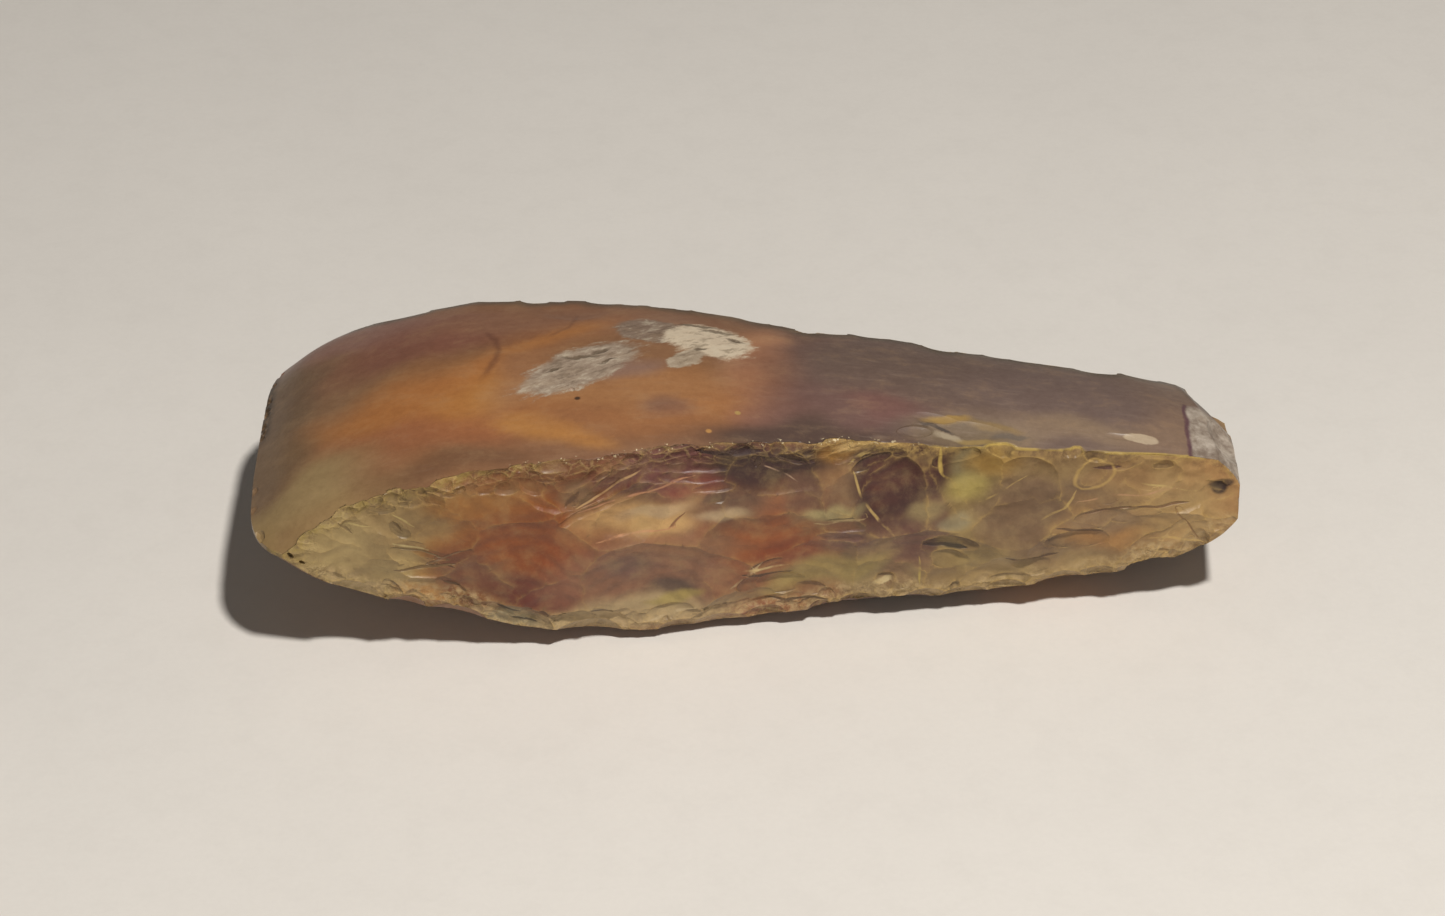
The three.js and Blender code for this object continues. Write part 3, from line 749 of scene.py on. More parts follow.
# Colours of the flaked near side, by x and height
nearColours = {
    "zones": [
        ((158, 136, 94), -82, 28, 16, 12, 0, 0.4, 0.9),
        ((140, 116, 80), -66, 34, 9, 7, -20, 0.5, 0.8),
        ((124, 98, 66), -59, 36, 6, 6, 0, 0.5, 0.8),
        ((152, 106, 60), -50, 37, 12, 4, -8, 0.5, 0.8),
        ((132, 104, 76), -31.5, 36.6, 3.6, 3, 45, 0.5, 0.85),
        ((134, 78, 38), -39, 27, 15, 9, 10, 0.5, 0.95),
        ((112, 74, 58), -50, 20, 9, 5, -8, 0.5, 0.9),
        ((98, 54, 36), -39, 15, 9, 6, 0, 0.35, 0.95),
        ((132, 72, 34), -34.5, 22.5, 7, 6, -30, 0.5, 0.95),
        ((162, 116, 70), -62, 15, 5, 3, -20, 0.5, 0.8),
        ((140, 102, 80), -20, 18, 19, 8, 0, 0.4, 0.8),
        ((150, 110, 80), -12, 23, 12, 2.6, -8, 0.5, 0.7),
        ((156, 146, 116), -45, 8, 6, 2.6, -20, 0.5, 0.8),
        ((174, 152, 114), -25, 6.5, 21, 4.5, 0, 0.5, 0.9),
        ((112, 86, 78), -22, 19, 4.6, 2.6, 0, 0.6, 0.7),
        ((92, 76, 68), -14, 12.8, 4.4, 2, -14, 0.5, 0.8),
        ((164, 144, 84), -13.5, 10, 5, 1.2, 12, 0.5, 0.8),
        ((188, 150, 100), -22, 31, 12, 4, 14, 0.5, 0.9),
        # painted highlight on the ochre scar's face
        ((184, 156, 120), -17, 31.4, 6, 1.3, 6, 0.5, 0.8),
        ((104, 66, 62), -14, 40.5, 15, 4.2, 0, 0.35, 0.95),
        ((122, 66, 58), -10, 36, 6, 2.4, 10, 0.5, 0.8),
        ((70, 51, 43), 5.5, 37.5, 12, 5.6, 2, 0.35, 1),
        ((108, 86, 70), -3, 31, 8, 3, 0, 0.5, 0.6),
        ((172, 148, 116), -4.2, 29.4, 5, 1.2, 0, 0.5, 0.8),
        ((150, 88, 56), 3.8, 22, 8, 6, 0, 0.6, 0.85),
        ((122, 66, 50), 9, 19, 6, 3.4, 0, 0.5, 0.6),
        ((100, 76, 64), 12, 29, 5, 4, 0, 0.5, 0.7),
        ((156, 142, 100), 17, 27.5, 5, 1.6, 0, 0.4, 0.8),
        ((104, 76, 70), 20, 21.2, 5, 2, 0, 0.5, 0.8),
        ((154, 134, 84), 15, 13, 11, 3.4, 14, 0.5, 0.85),
        ((74, 51, 42), 28.5, 34.5, 8.6, 8.6, -12, 0.34, 1),
        ((98, 60, 50), 29, 33, 5, 3.4, 0, 0.6, 0.5),
        ((152, 134, 94), 34.6, 26.4, 3.6, 1.8, 20, 0.6, 0.75),
        ((148, 136, 106), 40.3, 23.6, 3.4, 1.6, 0, 0.4, 0.8),
        ((120, 112, 88), 41.4, 36, 3.6, 4.5, 0, 0.5, 0.8),
        ((168, 150, 86), 42.5, 30.6, 3.6, 3, 0, 0.6, 0.8),
        ((158, 124, 68), 47, 36, 5, 3, 0, 0.5, 0.8),
        ((120, 96, 74), 52, 26, 9, 7, 20, 0.5, 0.8),
        ((138, 112, 76), 60, 35, 7, 3, 0, 0.5, 0.7),
        ((126, 108, 88), 69, 22, 7, 3, 0, 0.5, 0.6),
        ((150, 118, 80), 78, 31, 9, 4, 0, 0.5, 0.8),
        ((164, 134, 90), 86, 22, 9, 10, 0, 0.5, 0.85),
        ((168, 126, 80), 69, 19.5, 8, 5, -20, 0.6, 0.85),
        ((162, 136, 92), 52, 8, 28, 5, 2, 0.6, 0.85),
        ((138, 106, 80), 29.6, 11.5, 2.6, 3, 0, 0.4, 0.6),
    ],
    # thin pale lines, painted highlights along ridges and the lips of steps: colour, x and height of both
    # ends, half width
    "lines": [
        ((178, 150, 96), 20.8, 35, 22.4, 29.6, 0.3),
        ((178, 150, 96), 22.4, 29.6, 28.4, 20.6, 0.3),
        ((184, 156, 88), 37, 40.4, 37.8, 34, 0.45),
        ((184, 156, 88), 37.8, 34, 43.4, 25.6, 0.4),
        ((176, 148, 94), 43, 26, 53.4, 32.4, 0.2),
        ((172, 144, 92), 62.9, 29.3, 61, 25.4, 0.3),
        ((172, 144, 92), 61, 25.4, 56, 22.2, 0.3),
        ((172, 148, 86), 33.8, 14.5, 34.1, 9, 0.3),
        ((160, 134, 92), 42.5, 13, 42.9, 8, 0.25),
        ((186, 150, 106), -32, 33.2, -20, 40.7, 0.3),
        ((176, 128, 96), -31.6, 32.4, -10, 38.6, 0.25),
        ((168, 144, 104), 13.2, 26, 22.7, 25.3, 0.3),
        ((198, 172, 122), 8, 16.2, -3, 15.2, 0.3),
        ((178, 152, 92), 19.9, 37.7, 25.6, 41.2, 0.35),
        ((184, 134, 98), -28, 26.4, -13, 28, 0.22),
        ((160, 132, 108), 0.9, 40.3, 10.2, 34.8, 0.2),
        ((200, 188, 152), -48, 10.6, -42.4, 7.4, 0.45),
        ((186, 160, 104), 76, 30.2, 86, 27.6, 0.22),
        ((190, 158, 100), 79, 17, 88, 15.4, 0.3),
        ((168, 130, 96), 64, 27.4, 84, 28.6, 0.2),
        ((180, 158, 122), -18.6, 5.4, -10.4, 7.6, 0.35),
        ((176, 152, 116), -3, 11, 3, 17, 0.3),
        ((178, 156, 102), -66.2, 34, -62.4, 31.6, 0.25),
        ((180, 160, 112), -65.7, 27.9, -60.3, 25.8, 0.25),
        ((182, 160, 108), -76, 32.9, -70.9, 31.9, 0.22),
        ((188, 158, 108), 79, 12.9, 82.7, 18.3, 0.25),
    ],
    # painted shadows under the lips of steps, as dark lines: the same
    "stepShadows": [
        ((122, 102, 72), -76.6, 33, -74.6, 31, 0.3),
        ((112, 92, 64), -66.4, 32.4, -64.8, 30.4, 0.35),
        ((112, 90, 64), -66.6, 22, -55.3, 22.5, 0.35),
        ((116, 92, 70), -60.9, 22.8, -53.5, 25.5, 0.25),
        ((116, 98, 70), -66, 27.2, -58, 24.3, 0.22),
        ((94, 72, 52), -57.4, 18.6, -55, 17.2, 0.4),
        ((62, 48, 40), 35.2, 18, 38.6, 18.3, 0.4),
        ((50, 38, 32), 38.2, 18.2, 42.2, 16.9, 0.6),
        ((98, 76, 60), 60, 20.2, 68.6, 19.2, 0.45),
        ((112, 84, 62), 65.1, 24.4, 75, 25, 0.3),
        ((112, 84, 62), 75, 25, 85, 25.2, 0.3),
        ((84, 64, 50), 50.8, 14.2, 55.6, 13.4, 0.35),
        ((84, 64, 50), 55.6, 13.4, 60, 14.4, 0.35),
        ((70, 56, 46), -1, 14.2, 8.6, 14.4, 0.5),
        ((88, 70, 54), 3.9, 7.9, 15, 6.2, 0.4),
        ((126, 84, 64), -14.8, 27.6, -11.6, 30.4, 0.25),
        ((98, 72, 54), -33.8, 34, -31.6, 37, 0.6),
        ((92, 76, 56), -36.4, 8.6, -32.4, 9.8, 0.35),
        ((92, 76, 56), -32.8, 9.3, -24.8, 8.4, 0.35),
        ((64, 46, 42), -9, 43.4, 2.6, 42.2, 0.7),
        ((92, 66, 62), 67.6, 33.6, 71.2, 33.2, 0.5),
        ((68, 60, 46), -47, 12.2, -43.4, 10, 0.5),
        ((72, 62, 48), -45, 8.4, -40.6, 6.4, 0.4),
        ((140, 108, 74), 82.8, 24.2, 85.6, 20.6, 0.22),
        ((140, 108, 74), 85.6, 20.6, 87.6, 16, 0.22),
    ],
    "ring": ((182, 150, 92), 66.8, 32.6, 3.9, 2.9, 8, 0.08, 0.65),
    "whiteSpot": ((198, 180, 136), 26.9, 9.6, 1.7, 0.8, 20, 0.3, 0.9),
    # painted shade in the notch by the butt
    "notchShade": [
        ((72, 52, 44), 91.4, 29, 2.5, 1, 12, 0.25, 1),
        ((64, 46, 39), 91.1, 28, 1.5, 1.4, 0, 0.25, 1),
    ],
    "seamChips": [
        ((156, 114, 58), 17.5, 40.6, 3.8, 2.4, 10, 0.5, 0.9),
        ((194, 162, 110), 21.5, 42, 4.5, 1.8, 20, 0.4, 0.9),
        ((186, 150, 96), 27, 42.4, 5, 1.5, -6, 0.4, 0.8),
    ],
}

# Rind along the seams, by x: share of the way from clear to full
seamRind = {
    "olive": (150, 128, 72),
    "maroon": (116, 78, 66),
    "ochre": (194, 162, 98),
    "line": (184, 156, 88),
    "lower": (178, 152, 112),
    "along": [(-95, "olive"), (-45, "olive"), (-28, "maroon"), (8, "maroon"), (18, "ochre"), (95, "ochre")],
}


# Relief of the surface after the scars are cut, in millimetres
relief = {
    "warp": 0.45,
    "warpSize": 9,
    "flakedWaves": 0.1,
    "flakedSize": 5,
    "groundWaves": 0.05,
    "groundSize": 14,
    "flatKeep": 1.2,
    "ridgeFrom": 7,
    "ridgeTo": 30,
    "sharpFrom": 14,
    "lineShort": 0.7,
    "seamReach": 14,
    "mergeWithin": 0.004,
    "sideFacing": 0.7,
    "buttFacing": 0.75,
}

# how the stains of the sides mix: share of the stain along the stone, of each scar's own, how light the
# palest scar is and how much darker the darkest, and the half size from which a zone is a broad one
staining = {"along": 0.45, "scar": 0.55, "palest": 1.12, "darker": 0.28, "broadFrom": 3}


def soften(values, pairs, passes, share=0.5):
    # each point moves towards the mean of its neighbours
    near = np.bincount(pairs.ravel(), minlength=len(values)).reshape(-1, 1)
    for _ in range(passes):
        total = np.zeros_like(values)
        np.add.at(total, pairs[:, 0], values[pairs[:, 1]])
        np.add.at(total, pairs[:, 1], values[pairs[:, 0]])
        values = (1 - share) * values + share * total / near
    return values


def warped(places, size, amount, stretch=(1, 1, 1)):
    # how far noise moves each place
    drawn = Vector(stretch) / size
    return amount * np.array([noise.noise_vector(Vector(place) * drawn) for place in places])


def zoned(colours, first, second, zones, shine):
    # lay stained zones over the colours of points at these two distances
    for tint, a, b, ra, rb, turn, soft, strength in zones:
        angle = math.radians(turn)
        u, v = first - a, second - b
        away = np.hypot(
            (u * math.cos(angle) + v * math.sin(angle)) / ra,
            (v * math.cos(angle) - u * math.sin(angle)) / rb,
        )
        t = np.clip((away - 1 + soft) / (2 * soft), 0, 1)
        share = (strength * (1 - t * t * (3 - 2 * t)))[:, None]
        colours = (1 - share) * colours + share * np.array(paint(tint, shine))
    return colours


def alongStone(x, stops, shine):
    # colours of points, by how far along the stone they are
    tints = np.array([paint(tint, shine) for at, tint in stops])
    return np.stack([np.interp(x, [at for at, tint in stops], tints[:, k]) for k in range(3)], axis=1)


def stainPoints(places, scarStain, tone):
    # the colours of ground and of flaked stone at every point
    soft = places + warped(places, 13, 4.5) + warped(places, 5, 1.6, (0.4, 1, 1))
    close = places + warped(places, 4, 1.1)
    g, n = groundColours, nearColours
    ground = alongStone(soft[:, 0], g["along"], g["sheen"])
    top = zoned(ground, soft[:, 0], soft[:, 1], g["zones"], g["sheen"])
    under = zoned(ground, -soft[:, 0] + 14, soft[:, 1], g["zones"][1:13:2], g["sheen"])
    upper = (places[:, 2] > stone["thickness"] * 0.56)[:, None]
    ground = np.where(upper, top, under)

    stops = [(cadLow.x + at * stone["length"], stains[name]) for at, name in sideStains]
    flaked = staining["along"] * alongStone(soft[:, 0], stops, sheen) + staining["scar"] * scarStain
    broad = [zone for zone in n["zones"] if min(zone[3:5]) > staining["broadFrom"]]
    small = [zone for zone in n["zones"] if min(zone[3:5]) <= staining["broadFrom"]]
    near = zoned(flaked, soft[:, 0], soft[:, 2], broad, sheen)
    near = zoned(near, close[:, 0], close[:, 2], small, sheen)
    flaked = np.where(places[:, 1:2] < 0, near, flaked)
    flaked = flaked * (staining["palest"] - staining["darker"] * tone)
    opaque = np.ones((len(places), 1))
    return np.hstack([ground, opaque]), np.hstack([flaked, opaque])


def linePoints(places):
    # for every point: how far beside the nearest line it is, in half widths, how far from it, and its tint.
    # Pale lines are painted highlights on ridges and step lips, dark ones painted shadows under the lips
    where = places + warped(places, 6, 0.9)
    side, near = np.full(len(places), 9.0), np.full(len(places), 9.0)
    tints = np.zeros((len(places), 4))
    ready = places[:, 1] < 0
    for kind, dark in (("lines", 0), ("stepShadows", 1)):
        for tint, x0, z0, x1, z1, half in nearColours[kind]:
            length = math.hypot(x1 - x0, z1 - z0)
            first = ((where[:, 0] - x0) * (x1 - x0) + (where[:, 2] - z0) * (z1 - z0)) / length
            second = ((where[:, 2] - z0) * (x1 - x0) - (where[:, 0] - x0) * (z1 - z0)) / length
            past = np.abs(first - length / 2) - length / 2 + relief["lineShort"]
            away = np.hypot(np.clip(past, 0, None), second)
            closer = ready & (away < near)
            taper = 1 - 0.6 * np.clip(2 * first / length - 1, -1, 1) ** 4
            side[closer] = (second / (half * taper))[closer]
            near[closer] = away[closer]
            tints[closer] = (*paint(tint, sheen), dark)
    return side, near, tints


def store(mesh, name, kind, values):
    layer = mesh.attributes.new(name, kind, "POINT")
    layer.data.foreach_set("color" if kind == "FLOAT_COLOR" else "value", values.astype(np.float32).ravel())


def dressMesh(mesh):
    bm = bmesh.new()
    bm.from_mesh(mesh)
    bmesh.ops.remove_doubles(bm, verts=bm.verts[:], dist=relief["mergeWithin"])
    bmesh.ops.dissolve_degenerate(bm, edges=bm.edges[:], dist=relief["mergeWithin"])
    bmesh.ops.triangulate(bm, faces=bm.faces[:])
    bmesh.ops.delete(bm, geom=[vert for vert in bm.verts if not vert.link_faces], context="VERTS")
    places = np.array([vert.co for vert in bm.verts])
    low, high = places.min(0), places.max(0)
    shift = Vector((cadLow.x - low[0], -(low[1] + high[1]) / 2, -low[2]))
    bmesh.ops.translate(bm, vec=shift, verts=bm.verts[:])
    bm.normal_update()

    # what each face is: ground smooth, flaked or butt
    layer = bm.faces.layers.int["scarNumber"]
    groundFace, buttFace, stainFace, toneFace = [], [], [], []
    for face in bm.faces:
        number = face[layer]
        kind = rows[number - 1]["face"] if number else None
        if number:
            ground = kind in ("top", "under")
        else:
            ground = abs(face.normal.y) < relief["sideFacing"] and face.normal.x < relief["buttFacing"]
        groundFace.append(1.0 if ground else 0.0)
        isButt = kind == "butt" or (not number and face.normal.x > relief["buttFacing"])
        buttFace.append(1.0 if isButt else 0.0)
        stain = rows[number - 1]["stain"] if number else "any"
        if stain not in stains:
            along = (face.calc_center_median().x - cadLow.x) / stone["length"]
            stain = stainAt(along + between(-0.03, 0.03, number))
        stainFace.append(paint(stains[stain], sheen))
        toneFace.append(chance(number + 0.5) if number else 0.5)

    # warp everything a little, so that no outline is regular, then raise the waves
    for vert in bm.verts:
        flat = min(vert.co.z, cadHigh.x - vert.co.x) / relief["flatKeep"]
        keep = min(max(flat - 0.2, 0), 1)
        ground = sum(groundFace[face.index] for face in vert.link_faces) / len(vert.link_faces)
        warp = noise.noise_vector(vert.co / relief["warpSize"]) * relief["warp"] * keep * (1 - 0.7 * ground)
        waves = noise.noise(vert.co / relief["flakedSize"]) * relief["flakedWaves"] * (1 - ground)
        broad = noise.noise(vert.co / relief["groundSize"] + Vector((7, 3, 1)))
        waves += broad * relief["groundWaves"] * ground
        vert.co += warp + vert.normal * waves * keep
    bm.normal_update()

    # how far each point is from the seam between ground and flaked
    border = [
        vert.co.copy() for vert in bm.verts
        if 0 < sum(groundFace[face.index] for face in vert.link_faces) < len(vert.link_faces)
    ]
    tree = kdtree.KDTree(len(border))
    for k, co in enumerate(border):
        tree.insert(co, k)
    tree.balance()
    seam = [min(tree.find(vert.co)[2], relief["seamReach"]) for vert in bm.verts]

    # how convex each point's edges are: where a highlight is painted along the ridges
    ridge = np.zeros((len(bm.verts), 1))
    # how concave each point's edges are: where shade is painted into the creases
    crease = np.zeros((len(bm.verts), 1))
    span = relief["ridgeTo"] - relief["ridgeFrom"]
    for edge in bm.edges:
        angle = math.degrees(edge.calc_face_angle_signed(0))
        amount = min(max((abs(angle) - relief["ridgeFrom"]) / span, 0), 1)
        kind = ridge if angle > 0 else crease
        for vert in edge.verts:
            kind[vert.index, 0] = max(kind[vert.index, 0], amount)
    bmesh.ops.scale(bm, vec=(toMetres,) * 3, verts=bm.verts[:])
    dressed = bpy.data.meshes.new("axe_head_stone")
    bm.to_mesh(dressed)
    bm.free()

    # face values become point values, softened along the surface
    corners = np.empty(3 * len(dressed.polygons), dtype=np.int64)
    dressed.loops.foreach_get("vertex_index", corners)
    corners = corners.reshape(-1, 3)
    pairs = np.empty(2 * len(dressed.edges), dtype=np.int64)
    dressed.edges.foreach_get("vertices", pairs)
    pairs = pairs.reshape(-1, 2)

    def toPoints(faceValues):
        faceValues = np.array(faceValues, dtype=float).reshape(len(corners), -1)
        total = np.zeros((len(dressed.vertices), faceValues.shape[1]))
        for k in range(3):
            np.add.at(total, corners[:, k], faceValues)
        return total / np.bincount(corners.ravel(), minlength=len(total)).reshape(-1, 1)

    store(dressed, "ground", "FLOAT", toPoints(groundFace))
    store(dressed, "butt", "FLOAT", soften(toPoints(buttFace), pairs, 2))
    places = np.array([vert.co for vert in dressed.vertices]) / toMetres
    scarStain = soften(toPoints(stainFace), pairs, 1)
    groundStain, flakedStain = stainPoints(places, scarStain, soften(toPoints(toneFace), pairs, 1))
    store(dressed, "groundStain", "FLOAT_COLOR", groundStain)
    store(dressed, "flakedStain", "FLOAT_COLOR", flakedStain)
    side, near, tints = linePoints(places)
    store(dressed, "lineSide", "FLOAT", side)
    store(dressed, "lineNear", "FLOAT", near)
    store(dressed, "lineTint", "FLOAT_COLOR", tints)
    store(dressed, "seam", "FLOAT", np.array(seam))
    store(dressed, "ridge", "FLOAT", soften(ridge, pairs, 1, 0.35))
    store(dressed, "crease", "FLOAT", soften(crease, pairs, 1, 0.35))
    dressed.shade_smooth()
    dressed.set_sharp_from_angle(angle=math.radians(relief["sharpFrom"]))
    say(f"stone dressed, {len(dressed.polygons)} triangles")
    return dressed


# Shader maths: an output socket that plain arithmetic works on
class Wire:
    def __init__(self, finish, socket):
        self.finish = finish
        self.socket = socket

    def math(self, operation, *values):
        return self.finish.node("Math", {"operation": operation}, dict(enumerate(values)))

    def __add__(self, other):
        return self.math("ADD", self, other)

    def __sub__(self, other):
        return self.math("SUBTRACT", self, other)

    def __rsub__(self, other):
        return self.math("SUBTRACT", other, self)

    def __mul__(self, other):
        return self.math("MULTIPLY", self, other)

    def __truediv__(self, other):
        return self.math("DIVIDE", self, other)

    def __abs__(self):
        return self.math("ABSOLUTE", self)

    __radd__ = __add__
    __rmul__ = __mul__

    def most(self, other):
        return self.math("MAXIMUM", self, other)

    def step(self, start, end):
        # 0 before start and 1 past end, smooth between
        settings = {"interpolation_type": "SMOOTHSTEP", "clamp": True}
        return self.finish.node("MapRange", settings, {"Value": self, "From Min": start, "From Max": end})


class Finish:
    def __init__(self, name):
        self.material = bpy.data.materials.new(name)
        self.material.use_nodes = True
        self.tree = self.material.node_tree
        self.tree.nodes.clear()

    def node(self, kind, settings=None, inputs=None, output=0):
        made = self.tree.nodes.new("ShaderNode" + kind)
        for name, value in (settings or {}).items():
            if name == "stops":
                ramp = made.color_ramp
                while len(ramp.elements) < len(value):
                    ramp.elements.new(1)
                for element, (place, colour) in zip(ramp.elements, value):
                    element.position = place
                    element.color = (*colour, 1)
            else:
                setattr(made, name, value)
        for name, value in (inputs or {}).items():
            if isinstance(value, Wire):
                self.tree.links.new(value.socket, made.inputs[name])
            else:
                if isinstance(value, tuple) and made.inputs[name].type == "RGBA":
                    value = (*value[:3], 1)
                made.inputs[name].default_value = value
        return Wire(self, made.outputs[output])

    def mix(self, amount, first, second, blend="MIX"):
        # a Mix node on colours
        settings = {"data_type": "RGBA", "blend_type": blend, "clamp_factor": True}
        return self.node("Mix", settings, {0: amount, 6: first, 7: second}, output=2)

    def vector(self, operation, first, second=None, scale=None, output=0):
        inputs = {0: first}
        if second is not None:
            inputs[1] = second
        if scale is not None:
            inputs["Scale"] = scale
        return self.node("VectorMath", {"operation": operation}, inputs, output)

    def grain(self, place, size, detail=3, roughness=0.55, output="Fac"):
        # noise whose features are about size millimetres
        inputs = {"Vector": place, "Scale": 1 / size, "Detail": detail, "Roughness": roughness}
        return self.node("TexNoise", {}, inputs, output)

    def attribute(self, name, output="Fac"):
        return self.node("Attribute", {"attribute_name": name}, {}, output)

    def patch(self, place, centre, radii, turn=0, soft=0.4):
        # 1 inside an ellipsoid, falling to 0 over the soft share of its radius
        inputs = {"Vector": place, "Location": centre, "Rotation": turn, "Scale": radii}
        inside = self.node("Mapping", {"vector_type": "TEXTURE"}, inputs)
        away = self.vector("LENGTH", inside, output="Value")
        return 1 - away.step(1 - soft, 1 + soft)

    def finished(self, shader):
        out = self.tree.nodes.new("ShaderNodeOutputMaterial")
        self.tree.links.new(shader.socket, out.inputs["Surface"])
        return self.material


# Surface of the flint: sizes of its patterns in millimetres, tints, and how far it is from a mirror
flint = {
    "cloudSize": 6,
    "fineSize": 1.3,
    "crumbSize": 1.7,
    "dishSize": 2.1,
    "facetSize": 7.5,
    "chipSize": 3.4,
    "mottleSize": 3.4,
    "paleCloud": (168, 144, 98),
    "crumbs": (92, 70, 52),
    "batteredRim": (196, 168, 110),
    # painted highlight along the convex ridges between scars
    "ridge": (182, 150, 92),
    # painted shade in the concave creases between scars
    "crease": (58, 42, 34),
    "paleWisp": (186, 150, 108),
    "streak": (164, 142, 124),
    "glint": (232, 212, 170),
    "warmShade": (0.66, 0.58, 0.54),
    "wispShade": (0.66, 0.58, 0.56),
    "fineShade": (0.66, 0.62, 0.58),
    "roughness": 0.5,
    "groundSmoother": 0.1,
    "bump": 0.7,
    "ior": 1.52,
    "coat": 0.08,
    "coatRoughness": 0.25,
}


def flintFinish():
    f = Finish("waxy flint")
    place = f.vector("SCALE", f.node("TexCoord", output="Object"), scale=1 / toMetres)

    def wavy(size, amount, detail=3, stretch=(1, 1, 1)):
        # the place, moved about by noise
        drawn = f.vector("MULTIPLY", place, stretch)
        stir = f.vector("SUBTRACT", f.grain(drawn, size, detail, output="Color"), (0.5, 0.5, 0.5))
        return f.vector("ADD", place, f.vector("SCALE", stir, scale=amount))

    x, y, z = (f.node("SeparateXYZ", {}, {0: place}, output=axis) for axis in range(3))
    closely = wavy(5, 2.6, 4)
    finely = f.vector("ADD", wavy(2.2, 2.2, 5), f.vector("SUBTRACT", closely, place))
    barely = wavy(3, 0.9)
    drifting = wavy(6, 3, 2)
    thick = 1000        # through the whole stone

    def spread(where, a, b, ra, rb, turn, soft, flat):
        # a zone on a broad face by x and y, or on a side by x and height
        if flat == "broad":
            return f.patch(where, (a, b, 0), (ra, rb, thick), (0, 0, math.radians(turn)), soft)
        return f.patch(where, (a, 0, b), (ra, thick, rb), (0, math.radians(-turn), 0), soft)

    def laid(colour, zones, flat, where, shine):
        for tint, a, b, ra, rb, turn, soft, strength in zones:
            share = spread(where, a, b, ra, rb, turn, soft, flat) * strength
            colour = f.mix(share, colour, paint(tint, shine))
        return colour

    def outline(where, a, b, ra, rb, turn, width, flat):
        whole = spread(where, a, b, ra * (1 + width), rb * (1 + width), turn, width, flat)
        return whole * (1 - spread(where, a, b, ra * (1 - width), rb * (1 - width), turn, width, flat))

    def shaded(colour, share, shade):
        return f.mix(share, colour, f.mix(1, colour, shade, "MULTIPLY"))

    def cells(where, size, feature="F1"):
        # distances in a pattern of cells of about this size
        inputs = {"Vector": where, "Scale": 1 / size}
        return f.node("TexVoronoi", {"feature": feature}, inputs, "Distance")

    # broad faces
    g = groundColours
    shine = g["sheen"]
    isTop = z.step(22, 26)
    isFar = y.step(-3, 3)
    isNear = 1 - isFar
    seam = f.attribute("seam")
    isGround = f.attribute("ground").step(0.35, 0.65)
    ground = f.attribute("groundStain", "Color")
    top = ground
    for ring, end in zip(g["rings"], g["ringEnds"]):
        tint, a, b, ra, rb, turn, width, strength = ring
        shown = outline(closely, a, b, ra, rb, turn, width, "broad") * strength
        if end:
            shown = shown * spread(closely, *end, 0, 0.4, "broad")
        top = f.mix(shown, top, paint(tint, shine))
    inputs = {"Vector": closely, "Rotation": (0, 0, math.radians(g["fossilTurn"])), "Scale": (2.6, 1, 1)}
    fossilTone = f.grain(f.node("Mapping", {"vector_type": "TEXTURE"}, inputs), 1.5, 6, 0.7)
    fossil = 0
    for tint, a, b, ra, rb, turn, soft, strength in g["fossil"]:
        inside = spread(closely, a, b, ra, rb, turn, soft, "broad") + (fossilTone - 0.5) * 1.2
        inside = inside.step(0.25, 0.7) * strength
        top = f.mix(inside, top, paint(tint, shine))
        fossil = inside if fossil == 0 else fossil.most(inside)
    fossil = fossil * isTop * isGround
    fossilPits = 0
    for a, b, ra, rb, turn in g["fossilPits"]:
        fossilPits = spread(finely, a, b, ra, rb, turn, 0.5, "broad") + fossilPits
    top = f.mix(fossil * fossilTone.step(0.5, 0.66) * 0.6, top, paint(g["fossilLight"], shine))
    top = f.mix(fossil * fossilTone.step(0.5, 0.36) * 0.5, top, paint(g["fossilDark"], shine))
    top = f.mix(fossilPits * 0.75, top, paint(g["fossilDark"], shine))
    top = laid(top, g["yellowChips"], "broad", closely, shine)
    top = laid(top, [g["chip"]], "broad", barely, shine)
    for tint, a, b in g["specks"]:
        top = f.mix(spread(place, a, b, 0.55, 0.5, 0, 0.4, "broad") * 0.9, top, paint(tint, shine))
    ground = f.mix(isTop, ground, top)
    nearBand = (1 - seam.step(0.5, 7)) * (1 - x.step(-80, -58)) * isNear * isTop
    ground = f.mix(nearBand * 0.7, ground, paint(g["band"], shine))
    # painted shade along the far edge of the top
    ground = f.mix((1 - seam.step(0, 3.4)) * isFar * isTop * 0.8, ground, paint(g["farRimShade"], shine))
    # painted shade in the nicks along the far half of the cutting edge
    nickShaded = (1 - x.step(-94, -92)) * y.step(0, 6) * f.grain(place, 1.6, 3).step(0.34, 0.48)
    ground = f.mix(nickShaded * 0.9, ground, paint(g["nickShade"], shine))

    # flaked sides
    n = nearColours
    flaked = f.attribute("flakedStain", "Color")
    near = laid(flaked, [*n["seamChips"], n["whiteSpot"]], "side", closely, sheen)
    # painted shade in the notch by the butt
    near = laid(near, n["notchShade"], "side", place, sheen)
    flaked = f.mix(isNear, flaked, near)
    cloud = f.grain(closely, flint["cloudSize"], 6, 0.65)
    flaked = shaded(flaked, cloud.step(0.42, 0.72) * 0.45, flint["warmShade"])
    flaked = f.mix(cloud.step(0.55, 0.3) * 0.22, flaked, paint(flint["paleCloud"], sheen))

